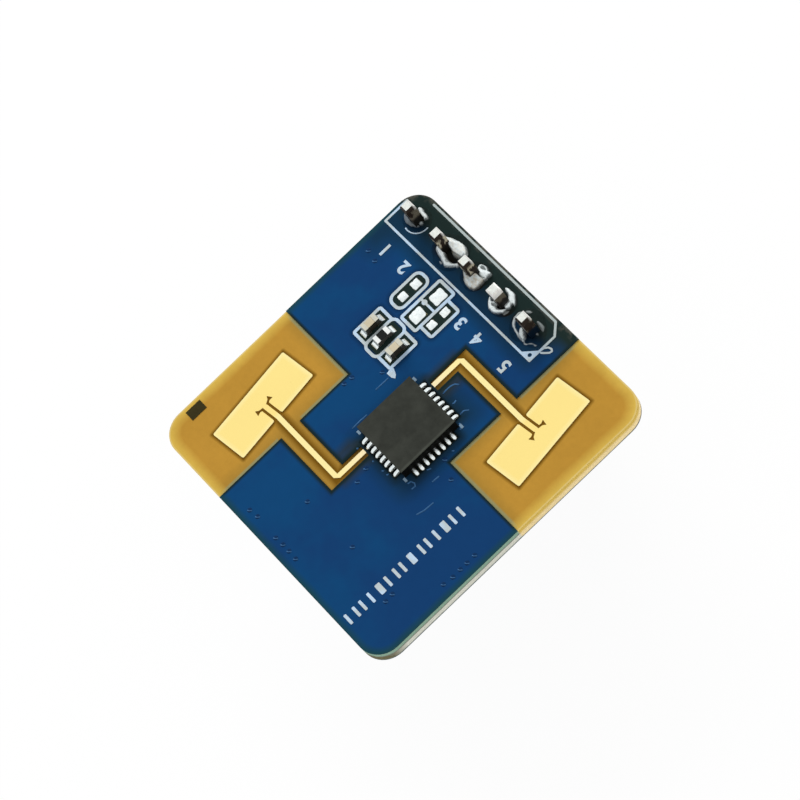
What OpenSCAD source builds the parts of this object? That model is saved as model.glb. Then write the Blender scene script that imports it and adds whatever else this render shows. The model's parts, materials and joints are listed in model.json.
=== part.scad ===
// Microwave radar sensor module, in millimetres.
// A square two-layer board carries two inset-fed patch antennas and the radar chip on
// its front. A controller, a regulator, a crystal and a five-pin header sit on its back.
// +Z points out of the antenna face and +Y towards the pin row. The origin is the
// centre of the laminate's back face.

/* [Board] */
// Side of the square board
board_side = 20; // [20:0.5:24]
// Radius of the board's corners
corner_r = 1.5; // [0.8:0.1:2]
// Thickness of the bare laminate
laminate_t = 0.8; // [0.6:0.1:1.6]
// Thickness of the copper foil on each face
copper_t = 0.035; // [0.02:0.005:0.07]
// Thickness of the solder mask over the copper
mask_t = 0.025; // [0.015:0.005:0.04]
// Thickness of the printed ink
ink_t = 0.02; // [0.01:0.005:0.03]
// Width of the strip without copper along the board's edges
pour_inset = 0.4; // [0.2:0.05:0.6]
// Gap between the ground copper and the antenna windows
pour_gap = 0.12; // [0.08:0.01:0.2]
// Shift of the artwork against the board's outline, along X
artwork_x = -0.05; // [-0.1:0.01:0.1]
// Shift of the artwork against the board's outline, along Y
artwork_y = 0.07; // [-0.1:0.01:0.1]

/* [Patch antennas] */
// Long side of each patch
patch_len = 6; // [5.4:0.1:6.4]
// Short side of each patch
patch_w = 2.47; // [2.2:0.01:2.7]
// Turn of each patch about its centre, in degrees
patch_turn = 7.2; // [0:0.2:9]
// Distance of each patch's centre from the artwork's centre, along X
patch_x = 6.57; // [6.4:0.01:6.8]
// Distance of each patch's centre from the artwork's centre, along Y
patch_y = 4.82; // [4.5:0.02:4.9]
// Width of the feed lines
feed_w = 0.3; // [0.2:0.01:0.36]
// Cut across the outer corner of each feed line's bend
feed_mitre = 0.26; // [0.1:0.02:0.3]
// Length of the two slits beside each inset feed
inset_len = 1.12; // [0.8:0.02:1.3]
// Width of the slits
slit_w = 0.16; // [0.08:0.01:0.18]
// Length of the hook at each slit's end
hook_len = 0.48; // [0.3:0.02:0.6]
// Width of the hook's flared foot
hook_foot = 0.38; // [0.2:0.02:0.4]
// Inner edge of the bare antenna windows, along X
window_x = 4.2; // [4.1:0.02:4.5]
// Inner edge of the bare antenna windows, along Y
window_y = 0.28; // [0.2:0.02:0.6]

/* [Radar chip] */
// Side of the square body
radar_side = 4; // [3.8:0.1:4.3]
// Height of the body
radar_h = 0.75; // [0.6:0.05:0.9]
// Distance between neighbouring terminals
radar_pitch = 0.4; // [0.36:0.01:0.42]
// Centre of the chip from the artwork's centre, along X
radar_x = 1.02; // [0.8:0.02:1.2]

/* [Controller] */
// Side of the square body
controller_side = 5; // [4.6:0.1:5.4]
// Height of the body
controller_h = 0.8; // [0.6:0.05:0.9]
// Distance between neighbouring terminals
controller_pitch = 0.5; // [0.4:0.01:0.52]
// Centre of the body from the board's centre, along X
controller_x = -1.2; // [-1.6:0.1:-1]
// Centre of the body from the board's centre, along Y
controller_y = -2.2; // [-2.6:0.1:-1.8]

/* [Chip terminals] */
// Width of each terminal
terminal_w = 0.18; // [0.16:0.01:0.22]
// Length of each terminal under the body
terminal_len = 0.35; // [0.3:0.01:0.4]
// Height of each terminal
terminal_h = 0.2; // [0.12:0.01:0.25]
// Width of each land under a terminal
land_w = 0.19; // [0.18:0.01:0.26]
// Reach of each land past the body
land_out = 0.4; // [0.3:0.02:0.54]

/* [Small parts] */
// Length of the small capacitors and resistors
part_len = 1; // [0.9:0.02:1.1]
// Width of the small capacitors and resistors
part_w = 0.5; // [0.4:0.02:0.54]
// Height of the small capacitors
capacitor_h = 0.54; // [0.4:0.02:0.6]
// Height of the small resistors
resistor_h = 0.35; // [0.28:0.01:0.45]
// Length of the large capacitors
bulk_len = 1.6; // [1.4:0.05:1.8]
// Width of the large capacitors
bulk_w = 0.8; // [0.6:0.05:0.9]
// Height of the large capacitors
bulk_h = 0.8; // [0.6:0.05:0.9]
// Length of the metal end on each small part
end_len = 0.25; // [0.2:0.01:0.3]
// Wall of the metal ends
end_wall = 0.02; // [0.015:0.005:0.04]
// Length of each land under a small part's end
end_land = 0.5; // [0.4:0.02:0.56]

/* [Crystal] */
// Length of the ceramic base
crystal_len = 3.2; // [3:0.1:3.6]
// Width of the ceramic base
crystal_w = 2.5; // [2.2:0.1:2.8]
// Height of the ceramic base
crystal_base_h = 0.5; // [0.4:0.05:0.7]
// Height of the metal lid
crystal_lid_h = 0.2; // [0.1:0.05:0.3]
// Step from the base's edge to the lid
crystal_rim = 0.16; // [0.1:0.01:0.25]

/* [Regulator] */
// Length of the moulded body
regulator_len = 2.9; // [2.7:0.05:3.1]
// Width of the moulded body
regulator_w = 1.6; // [1.4:0.05:1.8]
// Height of the moulded body
regulator_h = 1.05; // [0.9:0.05:1.2]
// Distance between neighbouring leads
lead_spacing = 0.95; // [0.85:0.01:1]
// Width of each lead
lead_w = 0.4; // [0.3:0.02:0.46]
// Thickness of each lead
lead_t = 0.15; // [0.1:0.01:0.2]
// Reach of each lead past the body
lead_out = 0.6; // [0.5:0.05:0.7]

/* [Header] */
// Distance between neighbouring pins
pin_pitch = 2.54; // [2:0.01:2.54]
// Side of each square pin
pin_w = 0.64; // [0.5:0.01:0.66]
// Length of each pin above the insulator, through the board
pin_tail = 2.86; // [2.4:0.02:3.4]
// Length of each pin below the insulator
pin_mate = 6; // [3:0.1:8.5]
// Length of the taper at each pin's mating tip
tip_len = 0.5; // [0.3:0.05:0.8]
// Height of the insulator
base_h = 2.54; // [1.5:0.02:2.8]
// Width of the insulator
base_w = 2.5; // [2.2:0.02:2.54]
// Corner cut of each insulator segment
base_cut = 0.4; // [0.2:0.05:0.6]
// Distance of the pin row from the board's edge
row_inset = 1.45; // [1.35:0.05:1.6]
// Distance of the first pin from the board's left edge
first_pin = 1.67; // [1.45:0.01:1.9]

/* [Plated holes] */
// Diameter of each hole inside its plating
hole_d = 1; // [0.96:0.02:1.1]
// Diameter of the pad round each hole
pad_d = 1.6; // [1.4:0.05:1.7]
// Height of the solder that climbs each pin
solder_h = 0.7; // [0.4:0.05:1]

/* [Silkscreen] */
// Width of the lines round the small parts
ink_w = 0.19; // [0.14:0.01:0.24]
// Width of the line round the header
box_ink_w = 0.14; // [0.1:0.01:0.2]

/* [Hidden] */

// Facets of the round corners, holes and pads
round_fn = 48;
// Facets of the small rounds in the print
ink_fn = 24;
// Length that a cutter runs past what it cuts
past = 0.1;

// Heights above the laminate on either face
mask_top = copper_t + mask_t;
part_lift = 0.005;
seat_z = mask_top + part_lift;

// Gap between a land or pad and the edge of its opening in the mask
opening_gap = 0.03;
// Mask left between a chip's lands and the end of a feed line's channel
mask_dam = 0.17;
// Ground copper cut away round a chip, past its lands
chip_keepout = 0.12;

// Feed lines: where they bend, and where they meet the chip's second terminal
feed_y = patch_y - patch_w / 2 * sin(patch_turn);
feed_entry_x = patch_x - patch_w / 2 * cos(patch_turn);
feed_terminal = radar_x - 2.5 * radar_pitch;
feed_end_y = radar_side / 2 + land_out + mask_dam;
hook_w = 0.14;
hook_lean = [15, 25];
// Rounding of the patches' corners and of the slits' mouths
patch_r = 0.1;
mouth_r = 0.12;

// Bare channel round each feed line: its reach either side of the bend's two arms
channel_arm = [[-0.57, 0.59], [-0.68, 0.7]];
channel_leg = [[-0.25, 0.44], [-0.38, 0.36]];

// Pin row
pin_count = 5;
row_y = board_side / 2 - row_inset;
row_x = -board_side / 2 + first_pin;
row_end_x = row_x + (pin_count - 1) * pin_pitch;
plating = copper_t;
pin_corner_r = pin_w / sqrt(2);
solder_wall = 0.025;
tail_cut = 0.09;
tail_cut_h = 0.16;
tip_w = pin_w * 0.45;
pin_keepout = 0.25;
// Ground copper ends this far below the pin row
row_pour_gap = 0.1;

// Front parts of the artwork, with Y measured from the pin row, below which they keep
// together. The fitted three stand in one frame.
trio_y = -6.01;
trio_x = [-5.36, -4.33, -3.13];
// Spare pads: centre and size of each
spare_pad_list = [
    [-5.38, -2.67, 0.52, 0.54], [-5.38, -3.67, 0.5, 0.5],
    [-3.8, -2.31, 0.72, 0.84], [-3.85, -3.84, 0.72, 0.84],
    [-2.79, -2.66, 0.46, 0.52], [-2.79, -3.67, 0.46, 0.52]
];
// Printed frames round the spare pads: left, bottom, right, top and corner radius
capsule_frame = [-5.89, -4.35, -4.84, -2.02, 0.4];
tall_frame = [-4.48, -4.55, -3.22, -1.59, 0.1];
short_frame = [-3.22, -4.17, -2.22, -2.09, 0.14];
// Printed bar between the tall frame's pads, with a blob at one end
tall_bar_y = -3.06;
tall_bar_w = 0.14;
tall_bar_blob = 0.34;
// Printed frame round the fitted three, its middle cell and its pointer
trio_frame = [-5.87, -6.99, -2.6, -4.98, 0.1];
trio_cell = [-4.82, -7.15, -3.66, -4.81, 0.36];
trio_pointer = [
    [-2.61, -6.87], [-2.44, -6.83], [-2.08, -6.98], [-1.92, -7.16], [-2.13, -7.28], [-2.52, -7.3]
];

// Printed box round the header
box_drop = 1.27;
box_rise = 1.25;
box_left = 1.43;
box_right = 1.2;
box_cut = 0.62;
box_break = 0.85;
corner_flag = 0.8;
flag_hole = 0.24;
// Printed loop beside the box, from the box's right side and the pin row
box_loop = [
    [0, -0.5], [0.06, -0.22], [0.22, -0.03], [0.42, 0.03], [0.54, -0.04], [0.5, -0.2],
    [0.32, -0.38], [0.14, -0.52]
];
loop_ink_w = 0.11;

// Printed marks at the radar chip's corners
tick_len = 0.28;
tick_w = 0.15;
tick_gap = 0.03;

// Dark ink mark on the bare laminate by the corner
mark_w = 0.69;
mark_len = 1.07;
mark_x = -9.385;
mark_y = -7.625;

// Back parts from the board's centre: X, Y and turn
back_small_capacitors = [
    [3.2, -5.7, 0], [3.4, 1.6, 90], [6.9, 1.4, 0], [2.9, -1.3, 90],
    [-5.7, -3.7, 90], [1.7, 3.2, 90]
];
back_large_capacitors = [[-6.3, 0.6, 0], [-2.6, 4.2, 90]];
back_resistors = [[-5.7, -1.4, 90], [0.7, -6.6, 0], [-2.9, -6.6, 0], [5.5, -4.6, 0]];
crystal_x = 5.5;
crystal_y = -1.7;
crystal_notch_r = 0.2;
crystal_land = [1.1, 0.95];
crystal_land_in = 0.15;
regulator_x = -6.3;
regulator_y = 3.9;
regulator_lift = 0.06;
regulator_draft = 0.12;
lead_foot = 0.38;
lead_land_out = 0.15;

// Gap between a chip's terminals and its middle pad
middle_pad_gap = 0.35;

// Solder fillets: how far they stand out from a part's end, and how high they climb
fillet_toe = 0.03;
fillet_climb = 0.6;
fillet_sag = 0.35;
fillet_bulge = 0.6;
solder_inset = 0.005;

// Colours
laminate_color = [0.75, 0.6, 0.27];
mask_color = [0.07, 0.26, 0.44];
ink_color = [0.72, 0.83, 0.92];
gold_color = [0.98, 0.87, 0.55];
copper_color = [0.8, 0.5, 0.3];
tin_color = [0.85, 0.86, 0.86];
chip_color = [0.2, 0.2, 0.2];
black_color = [0.08, 0.08, 0.08];
ceramic_color = [0.72, 0.66, 0.5];
alumina_color = [0.9, 0.9, 0.88];

// Places

module on_front() {
    translate([0, 0, laminate_t])
        children();
}

module on_back() {
    mirror([0, 0, 1])
        children();
}

module in_artwork() {
    translate([artwork_x, artwork_y, 0])
        children();
}

// Places in the artwork that keep to the pin row
module under_row() {
    translate([artwork_x, artwork_y + row_y, 0])
        children();
}

module at_pin(number) {
    translate([row_x + (number - 1) * pin_pitch, row_y, 0])
        children();
}

// A place in a list that holds X, Y and a turn
module at_place(place) {
    translate([place[0], place[1], 0])
        rotate(place[2])
            children();
}

// One copy for each terminal of a chip, with local +X pointing out of the body
module along_chip_rows(side, pitch) {
    for (turn = [0 : 90 : 270], i = [-3.5 : 1 : 3.5])
        rotate(turn)
            translate([side / 2, i * pitch, 0])
                children();
}

// One copy for each end of a small part, with local +X pointing out of it
module at_ends(len) {
    for (turn = [0, 180])
        rotate(turn)
            translate([len / 2, 0, 0])
                children();
}

// One copy for each antenna: 0 is the transmit side, 1 the receive side
module antenna_side(side) {
    rotate(side * 180)
        children();
}

// Flat outlines

module rounded_square_2d(side, r) {
    square([side, side - 2 * r], center = true);
    square([side - 2 * r, side], center = true);
    for (x = [-1, 1], y = [-1, 1])
        translate([x * (side / 2 - r), y * (side / 2 - r)])
            circle(r = r, $fn = round_fn);
}

module board_2d() {
    rounded_square_2d(board_side, corner_r);
}

// A frame list holds left, bottom, right, top and corner radius
module frame_fill_2d(frame, grow) {
    r = frame[4] + grow;
    w = frame[2] - frame[0] + 2 * grow;
    h = frame[3] - frame[1] + 2 * grow;
    translate([(frame[0] + frame[2]) / 2, (frame[1] + frame[3]) / 2]) {
        square([w, h - 2 * r], center = true);
        square([w - 2 * r, h], center = true);
        for (x = [-1, 1], y = [-1, 1])
            translate([x * (w / 2 - r), y * (h / 2 - r)])
                circle(r = r, $fn = ink_fn);
    }
}

// The inside of a frame has square corners where its radius is spent
module frame_hole_2d(frame, shrink) {
    if (frame[4] > shrink + 0.05)
        frame_fill_2d(frame, -shrink);
    else
        translate([frame[0] + shrink, frame[1] + shrink])
            square([frame[2] - frame[0] - 2 * shrink, frame[3] - frame[1] - 2 * shrink]);
}

module frame_line_2d(frame, w) {
    difference() {
        frame_fill_2d(frame, w / 2);
        frame_hole_2d(frame, w / 2);
    }
}

module stroke_2d(a, b, w) {
    run = norm(b - a);
    translate(a)
        rotate(atan2(b[1] - a[1], b[0] - a[0]))
            translate([0, -w / 2])
                square([run, w]);
    for (end = [a, b])
        translate(end)
            circle(d = w, $fn = ink_fn);
}

module path_2d(points, w) {
    for (i = [0 : len(points) - 2])
        stroke_2d(points[i], points[i + 1], w);
}

// Antennas

// X of the feed line's leg, seen from its own side
function feed_x(side) = side == 0 ? feed_terminal : -feed_terminal;

module in_patch() {
    translate([patch_x, patch_y])
        rotate(patch_turn)
            children();
}

// Slit beside the inset feed, with its hook; up is 1 above the feed and -1 below it
module slit_2d(up) {
    near = feed_w / 2;
    translate([-patch_w / 2 - past, up > 0 ? near : -near - slit_w])
        square([inset_len + past, slit_w]);
    // the patch's corner is rounded at the slit's mouth
    translate([-patch_w / 2, up * (near + slit_w)])
        difference() {
            translate([-past, -up * slit_w / 2 - (up > 0 ? 0 : mouth_r)])
                square([past + mouth_r, slit_w / 2 + mouth_r]);
            translate([mouth_r, up * mouth_r])
                circle(r = mouth_r, $fn = ink_fn);
        }
    translate([-patch_w / 2 + inset_len - hook_w / 2, up * near])
        rotate(up > 0 ? -hook_lean[0] : 180 + hook_lean[1]) {
            translate([-hook_w / 2, 0])
                square([hook_w, hook_len]);
            polygon([
                [-hook_foot / 2, hook_len], [hook_foot / 2, hook_len],
                [hook_w / 2, hook_len - hook_foot / 2],
                [-hook_w / 2, hook_len - hook_foot / 2]
            ]);
        }
}

module feed_line_2d(side) {
    x = feed_x(side);
    difference() {
        union() {
            translate([x - feed_w / 2, feed_end_y])
                square([feed_w, feed_y + feed_w / 2 - feed_end_y]);
            translate([x - feed_w / 2, feed_y - feed_w / 2])
                square([feed_entry_x - x + feed_w / 2, feed_w]);
            translate([feed_entry_x, feed_y])
                circle(d = feed_w, $fn = ink_fn);
        }
        polygon([
            [x - feed_w / 2 - past, feed_y + feed_w / 2 - feed_mitre - past],
            [x - feed_w / 2 - past, feed_y + feed_w / 2 + past],
            [x - feed_w / 2 + feed_mitre + past, feed_y + feed_w / 2 + past]
        ]);
    }
    // narrow neck under the mask, up to the chip's land
    translate([x - land_w / 2, radar_side / 2 + land_out])
        square([land_w, mask_dam + past]);
}

module antenna_2d(side) {
    in_patch()
        difference() {
            frame_fill_2d([-patch_w / 2, -patch_len / 2, patch_w / 2, patch_len / 2, patch_r], 0);
            slit_2d(1);
            slit_2d(-1);
        }
    feed_line_2d(side);
}

module antenna(side) {
    color(gold_color)
        on_front()
            in_artwork()
                antenna_side(side)
                    linear_extrude(copper_t)
                        antenna_2d(side);
}

// Bare window round a patch and its feed line, grown by a margin
module window_2d(side, grow) {
    arm = channel_arm[side];
    leg = channel_leg[side];
    x = feed_x(side);
    translate([window_x - grow, window_y - grow])
        square(board_side);
    translate([x + leg[0] - grow, feed_y + arm[0] - grow])
        square([window_x - x - leg[0], arm[1] - arm[0] + 2 * grow]);
    translate([x + leg[0] - grow, feed_end_y - grow])
        square([leg[1] - leg[0] + 2 * grow, feed_y - feed_end_y + grow]);
}

module windows_2d(grow) {
    for (side = [0, 1])
        antenna_side(side)
            window_2d(side, grow);
}

// Board

module circuit_board() {
    color(laminate_color)
        difference() {
            linear_extrude(laminate_t)
                board_2d();
            for (number = [1 : pin_count])
                at_pin(number)
                    translate([0, 0, -past])
                        cylinder(d = hole_d + 2 * plating, h = laminate_t + 2 * past, $fn = round_fn);
        }
}

module chip_keepout_2d(side) {
    square(side + 2 * (land_out + chip_keepout), center = true);
}

// No ground copper round a pin's pad, nor between it and the board's edge
module pin_keepout_2d() {
    r = pad_d / 2 + pin_keepout;
    for (number = [1 : pin_count])
        at_pin(number) {
            circle(r = r, $fn = round_fn);
            translate([-r, 0])
                square([2 * r, board_side]);
        }
}

module front_pour_2d() {
    difference() {
        rounded_square_2d(board_side - 2 * pour_inset, corner_r - pour_inset);
        in_artwork() {
            windows_2d(pour_gap);
            translate([radar_x, 0])
                chip_keepout_2d(radar_side);
        }
        under_row()
            for (frame = [capsule_frame, tall_frame, short_frame, trio_frame])
                frame_hole_2d(frame, 0);
        translate([-board_side / 2, row_y - row_pour_gap])
            square(board_side);
        pin_keepout_2d();
    }
}

module front_ground_plane() {
    color(copper_color)
        on_front()
            linear_extrude(copper_t)
                front_pour_2d();
}

module back_pour_2d() {
    difference() {
        rounded_square_2d(board_side - 2 * pour_inset, corner_r - pour_inset);
        translate([controller_x, controller_y])
            chip_keepout_2d(controller_side);
        for (place = back_small_capacitors)
            at_place(place)
                two_lands_2d(part_len, part_w, chip_keepout);
        for (place = back_resistors)
            at_place(place)
                two_lands_2d(part_len, part_w, chip_keepout);
        for (place = back_large_capacitors)
            at_place(place)
                two_lands_2d(bulk_len, bulk_w, chip_keepout);
        translate([crystal_x, crystal_y])
            crystal_lands_2d(chip_keepout);
        translate([regulator_x, regulator_y])
            regulator_lands_2d(chip_keepout);
        pin_keepout_2d();
    }
}

module back_ground_plane() {
    color(copper_color)
        on_back()
            linear_extrude(copper_t)
                back_pour_2d();
}

module pad_openings_2d() {
    for (number = [1 : pin_count])
        at_pin(number)
            circle(d = pad_d + 2 * opening_gap, $fn = round_fn);
}

module front_mask_2d() {
    difference() {
        board_2d();
        in_artwork() {
            windows_2d(0);
            translate([radar_x, 0])
                chip_lands_2d(radar_side, radar_pitch, opening_gap);
        }
        under_row() {
            for (x = trio_x)
                translate([x, trio_y])
                    rotate(90)
                        two_lands_2d(part_len, part_w, opening_gap);
            spare_pads_2d(opening_gap);
        }
        pad_openings_2d();
    }
}

// The mask lies level over copper and bare laminate alike
module front_solder_mask() {
    color(mask_color)
        on_front()
            difference() {
                linear_extrude(mask_top)
                    front_mask_2d();
                translate([0, 0, -past])
                    linear_extrude(copper_t + past)
                        front_pour_2d();
                in_artwork()
                    translate([0, 0, -past])
                        linear_extrude(copper_t + past)
                            for (side = [0, 1])
                                antenna_side(side)
                                    feed_line_2d(side);
            }
}

module back_mask_2d() {
    difference() {
        board_2d();
        translate([controller_x, controller_y])
            chip_lands_2d(controller_side, controller_pitch, opening_gap);
        back_part_lands_2d(opening_gap);
        pad_openings_2d();
    }
}

module back_solder_mask() {
    color(mask_color)
        on_back()
            difference() {
                linear_extrude(mask_top)
                    back_mask_2d();
                translate([0, 0, -past])
                    linear_extrude(copper_t + past)
                        back_pour_2d();
            }
}

module header_box_2d() {
    left = row_x - box_left;
    right = row_end_x + box_right;
    low = row_y - box_drop;
    high = row_y + box_rise;
    path_2d([[left, high - box_break], [left, low], [right, low], [right, high - box_cut],
             [right - box_cut, high], [row_x, high]], box_ink_w);
    translate([right, row_y])
        path_2d(box_loop, loop_ink_w);
    difference() {
        polygon([[right - corner_flag, low], [right, low], [right, low + corner_flag]]);
        translate([right - corner_flag * 0.3, low + corner_flag * 0.3])
            circle(d = flag_hole, $fn = ink_fn);
    }
}

module trio_print_2d() {
    difference() {
        union() {
            frame_line_2d(trio_frame, ink_w);
            frame_fill_2d(trio_cell, ink_w / 2);
        }
        frame_hole_2d(trio_cell, ink_w / 2);
    }
    polygon(trio_pointer);
}

module spare_print_2d() {
    frame_line_2d(capsule_frame, ink_w);
    frame_line_2d(tall_frame, ink_w);
    frame_line_2d(short_frame, ink_w);
    stroke_2d([tall_frame[0], tall_bar_y], [tall_frame[2], tall_bar_y], tall_bar_w);
    translate([tall_frame[0] + tall_bar_blob, tall_bar_y])
        circle(d = tall_bar_blob, $fn = ink_fn);
}

module chip_ticks_2d(side) {
    for (x = [-1, 1], y = [-1, 1])
        translate([x * (side / 2 + tick_len / 4), y * (side / 2 + tick_gap + tick_w / 2)])
            square([tick_len, tick_w], center = true);
}

module front_silkscreen() {
    color(ink_color)
        on_front()
            translate([0, 0, mask_top])
                linear_extrude(ink_t) {
                    header_box_2d();
                    under_row() {
                        trio_print_2d();
                        spare_print_2d();
                    }
                    in_artwork()
                        translate([radar_x, 0])
                            chip_ticks_2d(radar_side);
                }
}

module corner_mark() {
    color(black_color)
        on_front()
            translate([mark_x - mark_w / 2, mark_y - mark_len / 2, 0])
                cube([mark_w, mark_len, ink_t]);
}

// Chips in leadless square packages

// Side of the metal pad under the middle of a chip
function middle_pad(side) = side - 2 * (terminal_len + middle_pad_gap);

// One land, square under the body and round at its outer end
module land_2d(grow) {
    translate([-terminal_len - grow, -land_w / 2 - grow])
        square([terminal_len + land_out - land_w / 2 + grow, land_w + 2 * grow]);
    translate([land_out - land_w / 2, 0])
        circle(d = land_w + 2 * grow, $fn = ink_fn);
}

module chip_lands_2d(side, pitch, grow) {
    along_chip_rows(side, pitch)
        land_2d(grow);
    square(middle_pad(side) + 2 * grow, center = true);
}

module chip_lands(side, pitch) {
    linear_extrude(copper_t)
        chip_lands_2d(side, pitch, 0);
}

module chip_terminals(side, pitch, grow) {
    along_chip_rows(side, pitch)
        translate([-terminal_len, -terminal_w / 2, seat_z - grow])
            cube([terminal_len + grow, terminal_w, terminal_h + grow]);
    translate([-middle_pad(side) / 2, -middle_pad(side) / 2, seat_z - grow])
        cube([middle_pad(side), middle_pad(side), terminal_h + grow]);
}

module chip_body(side, h, pitch) {
    difference() {
        translate([-side / 2, -side / 2, seat_z])
            cube([side, side, h]);
        chip_terminals(side, pitch, past);
    }
}

module chip_solder(side, pitch) {
    along_chip_rows(side, pitch)
        intersection() {
            rotate([90, 0, 0])
                linear_extrude(2 * land_w, center = true)
                    polygon([
                        [-terminal_len, copper_t], [land_out, copper_t],
                        [land_out - fillet_toe, mask_top],
                        [land_out * fillet_bulge, copper_t + terminal_h * fillet_climb],
                        [0, seat_z + terminal_h * fillet_climb], [0, seat_z],
                        [-terminal_len, seat_z]
                    ]);
            translate([0, 0, copper_t])
                linear_extrude(seat_z + terminal_h)
                    land_2d(-solder_inset);
        }
    translate([0, 0, copper_t])
        linear_extrude(seat_z - copper_t)
            square(middle_pad(side), center = true);
}

module radar_place() {
    on_front()
        in_artwork()
            translate([radar_x, 0, 0])
                children();
}

module radar_chip_body() {
    color(chip_color)
        radar_place()
            chip_body(radar_side, radar_h, radar_pitch);
}

module radar_chip_terminals() {
    color(tin_color)
        radar_place()
            chip_terminals(radar_side, radar_pitch, 0);
}

module radar_chip_lands() {
    color(gold_color)
        radar_place()
            chip_lands(radar_side, radar_pitch);
}

module radar_chip_solder() {
    color(tin_color)
        radar_place()
            chip_solder(radar_side, radar_pitch);
}

module controller_place() {
    on_back()
        translate([controller_x, controller_y, 0])
            children();
}

module controller_body() {
    color(chip_color)
        controller_place()
            chip_body(controller_side, controller_h, controller_pitch);
}

module controller_terminals() {
    color(tin_color)
        controller_place()
            chip_terminals(controller_side, controller_pitch, 0);
}

module controller_lands() {
    color(gold_color)
        controller_place()
            chip_lands(controller_side, controller_pitch);
}

module controller_solder() {
    color(tin_color)
        controller_place()
            chip_solder(controller_side, controller_pitch);
}

// Small parts with two metal ends, lying along X

module two_lands_2d(len, w, grow) {
    at_ends(len)
        translate([-end_land / 2 - grow, -w / 2 - grow])
            square([end_land + 2 * grow, w + 2 * grow]);
}

module capacitor_body(len, w, h) {
    translate([-len / 2 + end_wall, -w / 2 + end_wall, seat_z + end_wall])
        cube([len - 2 * end_wall, w - 2 * end_wall, h - 2 * end_wall]);
}

module capacitor_ends(len, w, h) {
    difference() {
        at_ends(len)
            translate([-end_len, -w / 2, seat_z])
                cube([end_len, w, h]);
        capacitor_body(len, w, h);
    }
}

module resistor_body() {
    translate([-part_len / 2 + end_wall, -part_w / 2, seat_z + end_wall])
        cube([part_len - 2 * end_wall, part_w, resistor_h - 2 * end_wall]);
}

module resistor_coat() {
    translate([-part_len / 2 + end_len, -part_w / 2, seat_z + resistor_h - end_wall])
        cube([part_len - 2 * end_len, part_w, end_wall]);
}

module resistor_ends() {
    difference() {
        at_ends(part_len)
            translate([-end_len, -part_w / 2, seat_z])
                cube([end_len, part_w, resistor_h]);
        translate([-part_len / 2 + end_wall, -part_w / 2 - past, seat_z + end_wall])
            cube([part_len - 2 * end_wall, part_w + 2 * past, resistor_h - 2 * end_wall]);
    }
}

module end_solder(len, w, h) {
    toe = end_land / 2;
    at_ends(len)
        rotate([90, 0, 0])
            linear_extrude(w, center = true)
                polygon([
                    [-end_len, copper_t], [toe - fillet_toe, copper_t],
                    [toe - 2 * fillet_toe, mask_top],
                    [toe * fillet_sag, copper_t + h * fillet_climb * fillet_sag],
                    [0, seat_z + h * fillet_climb], [0, seat_z], [-end_len, seat_z]
                ]);
}

// Place of one of the three fitted front parts, which stand along Y
module trio_place(index) {
    on_front()
        under_row()
            translate([trio_x[index], trio_y, 0])
                rotate(90)
                    children();
}

module left_capacitor_body() {
    color(ceramic_color)
        trio_place(0)
            capacitor_body(part_len, part_w, capacitor_h);
}

module left_capacitor_ends() {
    color(tin_color)
        trio_place(0)
            capacitor_ends(part_len, part_w, capacitor_h);
}

module right_capacitor_body() {
    color(ceramic_color)
        trio_place(2)
            capacitor_body(part_len, part_w, capacitor_h);
}

module right_capacitor_ends() {
    color(tin_color)
        trio_place(2)
            capacitor_ends(part_len, part_w, capacitor_h);
}

module front_resistor_body() {
    color(alumina_color)
        trio_place(1)
            resistor_body();
}

module front_resistor_coat() {
    color(black_color)
        trio_place(1)
            resistor_coat();
}

module front_resistor_ends() {
    color(tin_color)
        trio_place(1)
            resistor_ends();
}

module front_part_lands() {
    color(gold_color)
        for (index = [0 : 2])
            trio_place(index)
                linear_extrude(copper_t)
                    two_lands_2d(part_len, part_w, 0);
}

module front_part_solder() {
    color(tin_color) {
        for (index = [0, 2])
            trio_place(index)
                end_solder(part_len, part_w, capacitor_h);
        trio_place(1)
            end_solder(part_len, part_w, resistor_h);
    }
}

module spare_pads_2d(grow) {
    for (pad = spare_pad_list)
        translate([pad[0], pad[1]])
            square([pad[2] + 2 * grow, pad[3] + 2 * grow], center = true);
}

// Tinned pads of the three footprints that carry no part
module spare_pads() {
    color(tin_color)
        on_front()
            under_row()
                linear_extrude(mask_top)
                    spare_pads_2d(0);
}

// Header

module plated_hole(number) {
    color(gold_color)
        at_pin(number)
            difference() {
                union() {
                    cylinder(d = hole_d + 2 * plating, h = laminate_t, $fn = round_fn);
                    for (z = [-copper_t, laminate_t])
                        translate([0, 0, z])
                            cylinder(d = pad_d, h = copper_t, $fn = round_fn);
                }
                translate([0, 0, -copper_t - past])
                    cylinder(d = hole_d, h = laminate_t + 2 * (copper_t + past), $fn = round_fn);
            }
}

// Side view of a pin, with its tail's cut corners and its tapered mating tip
module pin_side_2d() {
    top = pin_tail - mask_top;
    bottom = -mask_top - base_h - pin_mate;
    polygon([
        [-tip_w / 2, bottom], [tip_w / 2, bottom],
        [pin_w / 2, bottom + tip_len], [pin_w / 2, top - tail_cut_h],
        [pin_w / 2 - tail_cut, top], [-pin_w / 2 + tail_cut, top],
        [-pin_w / 2, top - tail_cut_h], [-pin_w / 2, bottom + tip_len]
    ]);
}

module header_pin(number) {
    color(tin_color)
        at_pin(number)
            intersection_for (turn = [0, 90])
                rotate([90, 0, turn])
                    linear_extrude(2 * pin_w, center = true)
                        pin_side_2d();
}

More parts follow.
